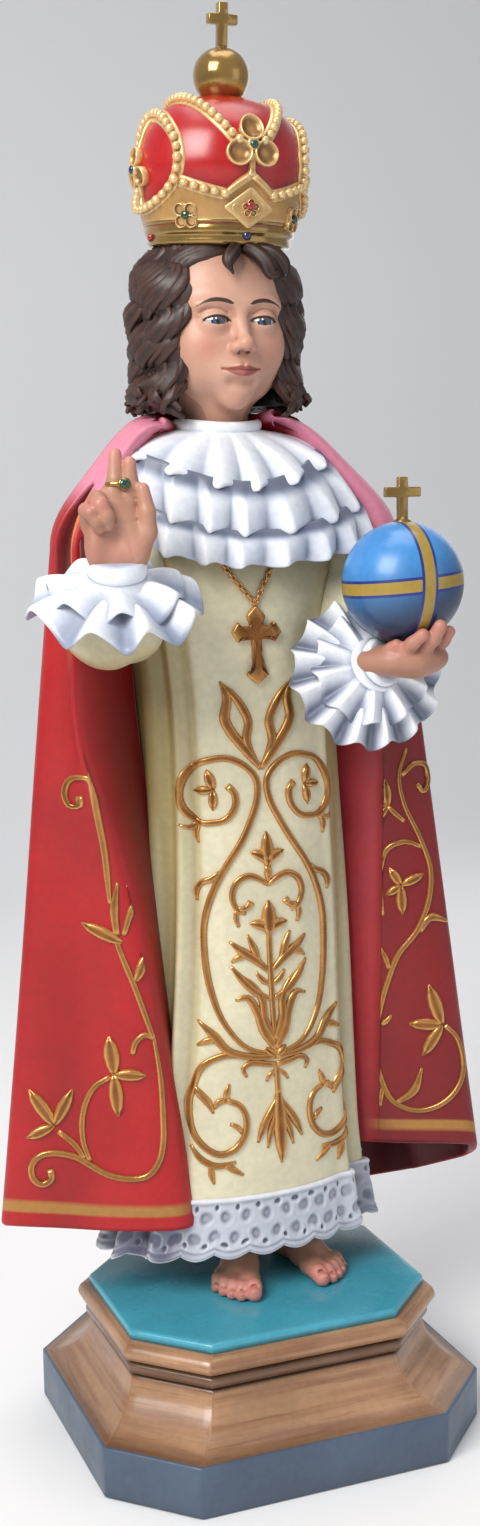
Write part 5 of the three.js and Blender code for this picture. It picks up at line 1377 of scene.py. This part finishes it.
turns = np.linspace(0, TURN, 200)
for base in (PI / 2, -PI / 2):
    surface = crown_side(base)
    wide = math.radians(SIDE_RING_WIDE) * CROWN_REACH
    strap = np.stack([wide * np.sin(turns), SIDE_RING_HEIGHT + SIDE_RING_TALL * np.cos(turns)], 1)
    relief(trim, surface, strap, [10, 10], 1.5, step=3.0)
    bead_run(surface(strap[:, 0], strap[:, 1], 3.4)[:-4])
for base in (0, PI):
    surface = crown_side(base)
    for side in (1, -1):
        angles = np.radians(np.linspace(17, 51, 10))
        path = np.stack([side * angles * CROWN_REACH, cap_edge(angles)], 1)
        relief(trim, surface, path, [10, 10], 1.5, step=3.0)
        bead_run(surface(path[:, 0], path[:, 1] + 0.5, 3.4))
for side in (1, -1):
    t = np.linspace(-PI / 2 + 0.2, PI / 2 - 0.2, 60)
    x = side * 37.3 * np.abs(np.cos(t)) ** 0.8
    y = np.sin(t) * crown_radius(ROSE_HEIGHT)
    heights = np.linspace(61, CROWN_TOP, 200)
    z = np.interp(-np.hypot(x, y), -crown_radius(heights), heights)
    out = unit(np.stack([x, y, (z - 40) * 0.9], -1))
    line = np.stack([x, y, z], -1)
    bead_run(line + out * 3.4, spacing=8.0)
    wide = np.cross(unit(np.gradient(line, axis=0)), out)
    t = circle(10)[None, :, None]
    strap = line[:, None] + wide[:, None] * 5.2 * np.sin(t) + out[:, None] * 1.6 * np.cos(t)
    trim.grid(strap)
piece("crown_trim", crowned(trim), GOLD)
piece("crown_beads", crowned(beads), GOLD)

# Stones in the solids' order: colour, how many, and how far the middle of each stands from the crown's side
STONES = [("green", 2, 6.2), ("blue", 2, 6.0), ("red", 2, 5.4), ("green", 4, 3.6), ("blue", 2, 1.2),
          ("red", 2, 1.2)]
CROWN_SEAT = CROWN_ORIGIN - [3.5, 0, 0]
BAND_TOP, BAND_RADIUS = 10, 59.0
STONE_RADIUS = 3.6
STONE_DOME = [(0.9, -1.6), (1.0, -0.9), (1.0, 0.0), (0.93, 0.8), (0.78, 1.5), (0.55, 2.0), (0.28, 2.3)]
stones = [(colour, lift) for colour, count, lift in STONES for _ in range(count)]
for number, (colour, lift) in enumerate(stones, 1):
    low, high = (np.array(list(corner)) * 1000 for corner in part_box("stone_%d" % number))
    local = ((low + high) / 2 - [0, 0, SLAB_TOP] - CROWN_SEAT) @ CROWN_TURN
    bearing = math.atan2(local[0], -local[1])
    reach = (crown_radius(local[2]) if local[2] > BAND_TOP else BAND_RADIUS) + lift
    way = np.array([math.sin(bearing), -math.cos(bearing), 0])
    centre = CROWN_ORIGIN + CROWN_TURN @ (reach * way + [0, 0, local[2]])
    out = CROWN_TURN @ (way + [0, 0, 0.12])
    side = unit(np.cross([0, 0, 1.0], out))
    t = circle(28)[:, None]
    edge = STONE_RADIUS * (side * np.cos(t) + np.cross(out, side) * np.sin(t))
    gem = Shape().grid(np.array([centre + out * rise + share * edge for share, rise in STONE_DOME]))
    piece("gem_%d" % number, gem, GEMS[colour], ["stone_%d" % number])

# Head
HEAD = np.array([-13.0, 18.0, 825.0])
EYE_X, EYE_Y, EYE_Z = 20.0, -45.0, -3.0
EYE_RADIUS, EYE_HALF = 12.0, 10.8


def lid_edges(dx):
    """Heights of the upper and lower lid above the eye's centre."""
    span = np.clip(1 - (dx / EYE_HALF) ** 2, 0, 1)
    return 3.2 * span**0.65 + 0.1, -2.7 * span**0.85 + 0.1


def head_field(x, y, z):
    p = (x, y, z)
    m = (np.abs(x), y, z)
    d = oval(p, (0, 0, 16), (51, 52, 58))
    d = near(d, oval(p, (0, -12, -14), (45, 44, 50)), 20)
    d = near(d, oval(p, (0, -26, 28), (42, 28, 33)), 16)
    d = near(d, oval(m, (26, -31, -22), (18, 18, 19)), 16)
    d = near(d, oval(m, (24, -8, -43), (18, 25, 19)), 16)
    d = near(d, oval(p, (0, -40, -60), (13, 13.5, 12)), 15)
    d = near(d, rod(p, (-2, 3, -135), (-2, 4, -40), 30, 27), 14)
    d = near(d, oval(m, (18, -50, 10), (15, 5.5, 4.0)), 10)
    d = without(d, oval(m, (20, -63.5, -3.2), (14, 11.8, 8.8)), 9)
    d = near(d, oval(p, (0, -45, -41), (20, 15, 14)), 13)
    d = near(d, rod(p, (0, -52.6, 4), (0, -65.0, -19), 3.6, 4.7), 8)
    d = near(d, oval(p, (0, -67, -21.6), (6.3, 6.1, 5.4)), 5)
    d = near(d, oval(m, (7.2, -61, -24), (4.2, 5.5, 4.1)), 4)
    d = without(d, oval(m, (3.7, -65.4, -27.9), (2.0, 3.3, 1.8)), 2)
    d = without(d, rod(p, (0, -63.4, -30.5), (0, -62.8, -35.8), 1.8, 2.2), 3.5)
    d = near(d, rod(m, (2.7, -60.7, -38.9), (14.8, -53.6, -40.2), 2.4, 1.0), 3)
    d = near(d, rod(m, (0, -60.0, -44.6), (13.0, -53.8, -41.9), 3.0, 1.2), 3)
    d = without(d, rod(m, (0, -63.6, -41.5), (16.2, -54.8, -40.4), 0.8, 0.9), 1.8)
    d = without(d, rod(m, (0, -59.0, -52.2), (9, -55.8, -51.2), 2.8, 2.0), 7)
    rise = z - EYE_Z
    eye = np.sqrt((m[0] - EYE_X) ** 2 + (y - EYE_Y) ** 2 + rise**2)
    upper, lower = lid_edges(m[0] - EYE_X)
    gap = np.maximum(rise - upper, lower - rise)
    d = near(d, np.maximum(eye - 13.6, y + 47.0), 3.4)
    d = np.maximum(d, -np.maximum(np.maximum(eye - 13.8, gap * 0.9), y + 44.0))
    crease = np.abs(eye - 14.4) + np.maximum(0, 6.6 - rise) + 40 * (y > EYE_Y)
    d = d + 0.8 * hump(crease, 0, 1.2)
    d = near(d, oval(m, (50, 6, -10), (5, 11, 17)), 4)
    d = near(d, oval(m, (48.5, 0, -27), (5, 6, 7)), 3)
    d = without(d, oval(m, (55, 3, -10), (3.4, 6, 10)), 3)
    return d.astype(np.float32)


finer = [(-40, 40, 1.5), (-82, -18, 2.8), (-78, 18, 1.9)]
points, faces = field_mesh((-62, -82, -132), (62, 74, 74), 0.98, head_field, finer)
points = relax(points, faces, 0.35)
x, y, z = points.T
m = np.abs(x)
front_side = y < -20
aside, rise = m - EYE_X, z - EYE_Z
upper = lid_edges(aside)[0]
brow = curve_at([[7, 10.4], [14, 12.8], [22, 13.6], [30, 11.8], [38, 7.2]], m)
brow_half = 1.7 * smooth(m, 5, 11) * (1 - 0.7 * smooth(m, 22, 37))
brow_line = (brow_half - np.abs(z - brow)) * front_side - 9 * (m < 6.5) - 9 * (m > 37)
lash = 1.25 - np.abs(rise - upper - 0.45) - 9 * (np.abs(aside) > EYE_HALF + 1.0) - 9 * (y > -46)
middle_line = 41.5 - 0.9 * (m / 15.0) ** 2
upper_lip = middle_line - 3.4 * (1 - (m / 15.6) ** 2) - 0.8 * hump(m, 3.3, 2.2) + 0.7 * hump(m, 0, 1.6)
lower_lip = middle_line + 5.0 * np.clip(1 - (m / 14.4) ** 2, 0, 1) ** 0.8
lips = np.minimum(-z - upper_lip, lower_lip + z) - 9 * (m > 15.6) - 9 * (y > -50)
mouth_line = 0.5 - np.abs(z + middle_line) - 9 * (m > 16.0) - 9 * (y > -50)
# Painted shade in the nostrils.
nostril = 1.9 - np.hypot((m - 3.7) * 1.1, (z + 28.0) * 1.5) - 9 * (y > -58)
lid_shadow = 0.45 * hump(np.hypot(aside, rise), 14.5, 2.6) * (z > -1) * (y < -40)


def mask(distance):
    """Distances inside a painted edge as shares that its paint can cut sharply."""
    return np.clip(0.5 + distance / 10, 0, 1)


blush = 0.42 * hump(m, 28, 13) * hump(z, -24, 12) * front_side
blush += 0.25 * hump(m, 0, 9) * hump(z, -22, 6) * (y < -60)
blush += 0.25 * hump(m, 0, 12) * hump(z, -66, 7) * front_side
# Painted shade under the chin, high up under the hair, at the sides, round the eyes and under the lower lip.
tan = 0.45 * smooth(-z, 64, 82) + 0.25 * smooth(z, 26, 50) + 0.35 * smooth(m, 34, 48) + lid_shadow
tan += 0.3 * hump(m, 0, 8) * hump(z, -52, 3) * front_side
face = Shape().add(points + HEAD, faces, blush=blush, tan=np.clip(tan, 0, 0.8), lips=mask(lips),
                   line=mask(np.maximum(brow_line, lash)), crease=mask(np.maximum(mouth_line, nostril)))
piece("head", face, SKIN)

eyes = Shape()
for x in (-EYE_X, EYE_X):
    points, faces = ball(np.zeros(3), EYE_RADIUS, 60, 40)
    points = points[:, [0, 2, 1]] * [1, -1, 1]
    look = unit(np.array([0.05, -1.0, -0.03]))
    off = np.linalg.norm(np.cross(points / EYE_RADIUS, look), axis=1) * EYE_RADIUS + 20 * (points[:, 1] > 0)
    bulge = 0.7 * np.exp(-((off / 5.0) ** 4))
    points = points * (1 + bulge / EYE_RADIUS)[:, None]
    # spot places a painted highlight; lid paints shade under the upper lid.
    spot = np.hypot(points[:, 0] + 1.9, points[:, 2] - 2.0) + 20 * (points[:, 1] > 0)
    eyes.add(points + HEAD + [x, EYE_Y, EYE_Z], faces, iris=mask(5.3 - off),
             ring=mask(off - 4.3) * (off < 6.5), pupil=mask(2.4 - off), glint=mask(0.8 - spot),
             lid=0.85 * smooth(points[:, 2], 0.2, 3.4))
piece("eyes", eyes, EYE_WHITE)

# Hair
SEAT = np.array([-13.0, 20.0, 888.0])
HAIR_WIDE = [[-144, 52], [-132, 65], [-98, 65], [-58, 67], [-25, 64], [-12, 56.5], [-4, 53], [5, 50]]
HAIR_DEEP = [[-144, 48], [-132, 62], [-98, 67], [-58, 71], [-27, 67], [-15, 57], [-7, 51], [5, 47]]
HAIR_OPENING = [[-144, 48], [-124, 54], [-100, 60], [-75, 56], [-41, 50], [-26, 43], [-18, 32], [-12, 14],
                [-7, 0], [6, 0]]


def hair_point(angle, rise, out):
    angle, rise, out = alike(angle, rise, out)
    wide, deep = curve_at(HAIR_WIDE, rise) + out, curve_at(HAIR_DEEP, rise) + out
    return SEAT + np.stack([wide * np.sin(angle), -deep * np.cos(angle), rise], -1)


def opening(rise):
    return np.radians(curve_at(HAIR_OPENING, rise))


def lock(shape, share, side, start, finish, radius, sway, phase, out, curl, strands):
    """One combed lock that follows the head's hair from its root to its curled end."""
    t = np.linspace(0, 1, 31)
    rise = lerp(start, finish, t**1.35)
    base = opening(rise)
    cycle = TURN * (start - rise) / 43.0 + phase
    swing = smooth(t, 0.0, 0.3) * sway * (1 + 0.5 * smooth(share, 0.04, 0.3))
    hook = smooth(t, 0.76, 1.0)
    curl = curl * float(smooth(share, 0.02, 0.2)) if curl < 0 else curl
    angle = base + (PI - base) * share + swing / 68.0 * np.sin(cycle) + curl * hook**2 * 0.4
    rise = rise + 12.0 * hook**2 * abs(curl)
    size = radius * (0.6 + 0.4 * smooth(t, 0, 0.25)) * (1 - 0.72 * smooth(t, 0.82, 1.0) ** 1.3)
    size = size * (1 + 0.12 * np.sin(cycle + 0.7))
    flip = hump(share, 0.3, 0.4)
    proud = out - 0.78 * size + 6.0 * flip * hook**2 + 0.5 * swing * np.cos(cycle)
    proud = proud - 3.0 * (1 - smooth(t, 0, 0.12))
    proud = proud - 9.0 * hump(share, 0, 0.06) * between(-rise, 14, 40, 104, 128)
    line = hair_point(side * angle, rise, proud)
    path, size = round_ends(line, size)
    along = unit(np.gradient(path, axis=0))
    across = unit(np.cross(unit((path - SEAT) * [1, 1, 0]), along))
    over = np.cross(along, across)
    a = circle(20)
    groove = 1 + 0.10 * np.cos(strands * a + phase) + 0.04 * np.cos((2 * strands - 1) * a + 2 * phase)
    twist = 0.25 * np.sin(TURN * np.linspace(0, 2.2, len(path)) + phase)[:, None]
    shaped = (size[:, None] * groove[None, :])[..., None]
    wide, thick = np.sin(a + twist)[..., None] * 1.2, np.cos(a + twist)[..., None] * 0.8
    shape.grid(path[:, None] + (across[:, None] * wide + over[:, None] * thick) * shaped)


hair_pieces = {-1: Shape(), 1: Shape()}
R, S = np.meshgrid(np.linspace(-124, 0, 24), np.linspace(0, 1, 60), indexing="ij")
angle = opening(R) + 0.08 + (TURN - 2 * opening(R) - 0.16) * S
# A dark shell under the locks, painted with shade all over.
hair_pieces[1].sheet(hair_point(angle, R, -7), hair_point(angle, R, -17), shade=1.0, inside={"shade": 1.0})
random = np.random.default_rng(11)
for side in (-1, 1):
    hair = hair_pieces[side]
    for k in range(22):
        share = 0.01 + 0.985 * (k + 0.5) / 22 + 0.006 * random.uniform(-1, 1)
        length = -146 + 13 * random.uniform(0, 1) - 4 * math.cos(3 * share)
        radius, phase = 8.6 + 1.2 * random.uniform(-1, 1), 0.3 * k + 0.4 * side + 1.5 * (k % 2) * (k > 8)
        lock(hair, share, side, -1, length, radius, 9.0, phase,
             out=1.5 * random.uniform(-1, 1), curl=0.9 * (-1) ** k, strands=6)
    for k in range(16):
        share = 0.02 + 0.96 * (k + 0.5) / 16
        lock(hair, share, side, -28 - 30 * random.uniform(0, 1), -146 + 12 * random.uniform(0, 1), 7.2, 9.0,
             0.41 * k + 1.2 + side + 1.9 * (k % 3) * (k > 6), out=2.5, curl=-1.0 * (-1) ** k, strands=5)
    lock(hair, 0.0, side, -40, -134, 7.5, 7.5, 2.6, out=2.0, curl=-0.3, strands=6)
curls = [[(-8, -29, 881), (-2, -40, 877), (5, -48, 868), (10, -49.5, 858), (15, -48, 861), (12, -49.5, 868)],
         [(-12, -30, 881), (-20, -40, 875), (-26, -46, 866), (-23, -48, 858)],
         [(2, -30, 881), (13, -40, 876), (22, -44, 866), (23, -46, 857), (18, -47.5, 855)]]
for path in curls:
    line = path_points(path, 1.6)
    share = np.linspace(0, 1, len(line))
    size = 5.0 * (0.8 + 0.4 * np.sin(PI * share)) * (1 - 0.75 * smooth(share, 0.6, 1))
    line, size = round_ends(line, size)
    hair_pieces[1].grid(tube_rings(line, size, 22, (0, -1, 0.2), 0.1))
piece("hair_left", hair_pieces[-1], HAIR)
piece("hair_right", hair_pieces[1], HAIR)

# Hands
RIGHT_WRIST = np.array([-142.0, -99.0, 631.0])
RIGHT_ACROSS = unit(np.array([0.97, -0.22, 0.0]))
RIGHT_OUT = np.array([RIGHT_ACROSS[1], -RIGHT_ACROSS[0], 0.0])
RIGHT_FRAME = np.array([RIGHT_ACROSS, RIGHT_OUT, [0, 0, 1]])


def right_hand_field(u, w, h):
    p = (u, w, h)
    flat = (u, w * 1.75, h)
    d = rod(flat, (0, 0, -14), (0, 0, 6), 15.5, 17.5)
    d = near(d, rod(flat, (0, 0, 6), (1, 0, 24), 17.5, 23.5), 8)
    d = near(d, rod(flat, (1, 0, 24), (-4, 0, 40), 23.5, 20), 6)
    d = near(d, oval(p, (15, 5, 13), (10, 9, 15)), 6)
    d = near(d, oval(p, (-15, 5, 14), (9, 8, 15)), 6)
    d = without(d, oval(p, (-1, 17, 22), (9, 8, 12)), 7)
    middle = chain(p, [(-3, -1, 38), (-1.5, 0, 52), (0.5, 0, 64), (1, -1, 84)], [7.4, 6.6, 6.6, 5.2])
    index = chain(p, [(9, 0, 38), (10.5, 1, 52), (11.5, 2, 63), (11.5, 3, 78)], [7.2, 6.4, 6.3, 5.0])
    d = near(d, middle, 3.0)
    d = near(d, index, 2.2)
    ring = chain(p, [(-12, 0, 38), (-14.5, 8, 51), (-12, 16, 47), (-8, 17, 38), (-6.5, 14, 32)],
                 [7.0, 6.4, 6.2, 5.8, 5.0])
    little = chain(p, [(-20.5, 0, 31), (-22.5, 7, 43), (-19.5, 15, 41), (-15, 16.5, 34), (-13, 14, 29)],
                   [6.2, 5.6, 5.4, 5.0, 4.4])
    d = near(d, ring, 1.8)
    d = near(d, little, 1.6)
    thumb = chain(p, [(15, 3, 8), (23.5, 7, 26), (23.5, 8, 41), (20.5, 7, 58)], [8.5, 7.4, 6.5, 5.2])
    d = near(d, thumb, 3.5)
    for crease in (51.5, 64.5):
        d = d + 0.55 * hump(h, crease, 0.8) * (np.abs(u - 5.5) < 12) * (w > 0) * (h > 49)
    d = d + 0.7 * hump(h, 30 + 0.35 * u, 1.0) * (np.abs(u - 2) < 15) * (w > 2) * (w < 14)
    return d + 0.7 * hump(u, 9 - 0.25 * (h - 18), 1.0) * (h > 4) * (h < 30) * (w > 3)


hands = Shape()
points, faces = field_mesh((-34, -20, -26), (38, 30, 94), 1.16, right_hand_field)
points = relax(points, faces, 0.4)
u, w, h = points.T
rose = 0.55 * smooth(h, 68, 86) + 0.5 * hump(h, 48, 7) * (u < -6) + 0.25 * hump(h, 10, 12)
rose += 0.4 * smooth(u, 16, 24) * smooth(h, 44, 58)
# Painted shade over the hand, darker towards its little-finger side.
hands.add(RIGHT_WRIST + points @ RIGHT_FRAME, faces, rose=rose, tan=0.5 + 0.3 * smooth(-u, 2, 22))

LEFT_FINGERS = [((-72, 16), (-37, 30), 5.4), ((-38, 13), (-3, 45), 6.0), ((10, 12), (14, 54), 6.3),
                ((50, 15), (40, 46), 6.0), ((150, 22), (158, 62), 6.8)]


def globe_direction(bearing, tilt):
    b, t = math.radians(bearing), math.radians(tilt)
    return np.array([math.sin(t) * math.sin(b), -math.sin(t) * math.cos(b), -math.cos(t)])


def left_hand_field(x, y, z):
    p = (x, y, z)
    flat = (x, y, (z - 551) * 1.55 + 551)
    d = rod(flat, (74, -106, 549.5), (84, -117, 551.5), 18.5, 19.5)
    d = near(d, rod(flat, (84, -117, 551.5), (98, -120, 552), 19.5, 23), 7)
    d = near(d, rod(flat, (98, -120, 552), (108, -121, 553), 23, 19), 7)
    for (b0, t0), (b1, t1), r in LEFT_FINGERS:
        joints, radii = [], []
        for s in (0.0, 0.35, 0.7, 1.0):
            way = globe_direction(lerp(b0, b1, s), lerp(t0, t1, s))
            joints.append(GLOBE_CENTRE + way * (GLOBE_RADIUS + r + 0.6 + 5 * (1 - s)))
            radii.append(r * (1.12 - 0.28 * s))
        d = near(d, chain(p, joints, radii, 2.5), 3.0)
    away = np.sqrt(sum((p[k] - GLOBE_CENTRE[k]) ** 2 for k in range(3)))
    return np.maximum(d, GLOBE_RADIUS + 0.4 - away)


points, faces = field_mesh((48, -182, 528), (156, -84, 604), 1.2, left_hand_field)
points = relax(points, faces, 0.35)
rose = np.zeros(len(points))
for _, (b1, t1), r in LEFT_FINGERS:
    tip = GLOBE_CENTRE + globe_direction(b1, t1) * (GLOBE_RADIUS + r)
    rose = np.maximum(rose, 0.6 * hump(np.linalg.norm(points - tip, axis=1), 0, 11))
# The left hand is painted evenly with shade.
hands.add(points, faces, rose=rose, tan=0.65)
piece("hands", hands, SKIN)

# Feet
FEET = [((-4, 26), -22, 1), ((44, 32), 10, -1)]
TOES = [(-13, 79, 7.6), (-2, 79, 5.4), (6.5, 75, 5.2), (14, 69, 5.0), (20.5, 61, 4.8)]


def foot_field(a, f, h):
    p = (a, f, h)
    d = oval(p, (0, -4, 13), (16, 17, 14))
    d = near(d, rod(p, (0, 4, 20), (0, 8, 60), 17, 16), 10)
    d = near(d, rod(p, (0, 6, 16), (0, 34, 16), 16, 15), 8)
    d = near(d, rod(p, (-5, 34, 12), (-8, 60, 8), 11, 9), 9)
    d = near(d, rod(p, (6, 32, 11), (12, 52, 7), 10, 8), 9)
    for across, ahead, r in TOES:
        root = (across * 0.86, ahead - 20 - r, 8.4)
        knuckle = (across * 0.95, ahead - 9, 9.4 if r < 7 else 9.0)
        tip = (across, ahead - 1.5, r * 0.86)
        d = near(d, chain(p, [root, knuckle, tip], [r * 0.98, r * 0.92, r * 0.9], 3), 2.6)
        d = without(d, oval(p, (across, ahead + 0.5, r * 1.62), (r * 0.62, r * 0.78, r * 0.34)), 0.6)
        d = near(d, oval(p, (across, ahead + 0.2, r * 1.36), (r * 0.56, r * 0.72, r * 0.3)), 0.4)
    return np.maximum(d, -h + 0.15)


feet = Shape()
points, faces = field_mesh((-26, -24, -1.5), (32, 94, 62), 1.35, foot_field)
a, f, h = relax(points, faces, 0.3).T
for (hx, hy), bearing, side in FEET:
    s, c = math.sin(math.radians(bearing)), math.cos(math.radians(bearing))
    place = np.stack([hx + f * s - side * a * c, hy - f * c - side * a * s, h], -1)
    # Painted shade over the feet, darkest where they meet the slab.
    feet.add(place, faces, rose=0.9 * smooth(f, 52, 80), tan=0.45 + 0.4 * (1 - smooth(h, 1, 9)))
piece("feet", feet, SKIN)

# Ring on the raised fingers
RING_PLACE, RING_WIDE, RING_DEEP, RING_TALL = (5.8, 0.6, 62.0), 12.6, 7.6, 1.9
centre = RIGHT_WRIST + RING_PLACE @ RIGHT_FRAME
t, s = circle(48)[:, None], circle(12)
places = [(RING_WIDE + np.cos(s)) * np.sin(t), (RING_DEEP + np.cos(s)) * np.cos(t),
          RING_TALL * np.sin(s) + 0 * t]
ring = Shape().loop(centre + np.stack(places, -1) @ RIGHT_FRAME)
ring.add(*ball(centre + RIGHT_OUT * 8.2 + RIGHT_ACROSS, (5.4, 2.8, 5.0), 28, 16))
piece("ring", ring, BRASS)
stone = Shape().add(*ball(centre + RIGHT_OUT * 10.2 + RIGHT_ACROSS, (4.2, 2.6, 3.8), 28, 16))
piece("ring_stone", stone, GEMS["green"])

size = {"cad": cad_box, "visual": [list(corner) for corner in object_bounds()]}
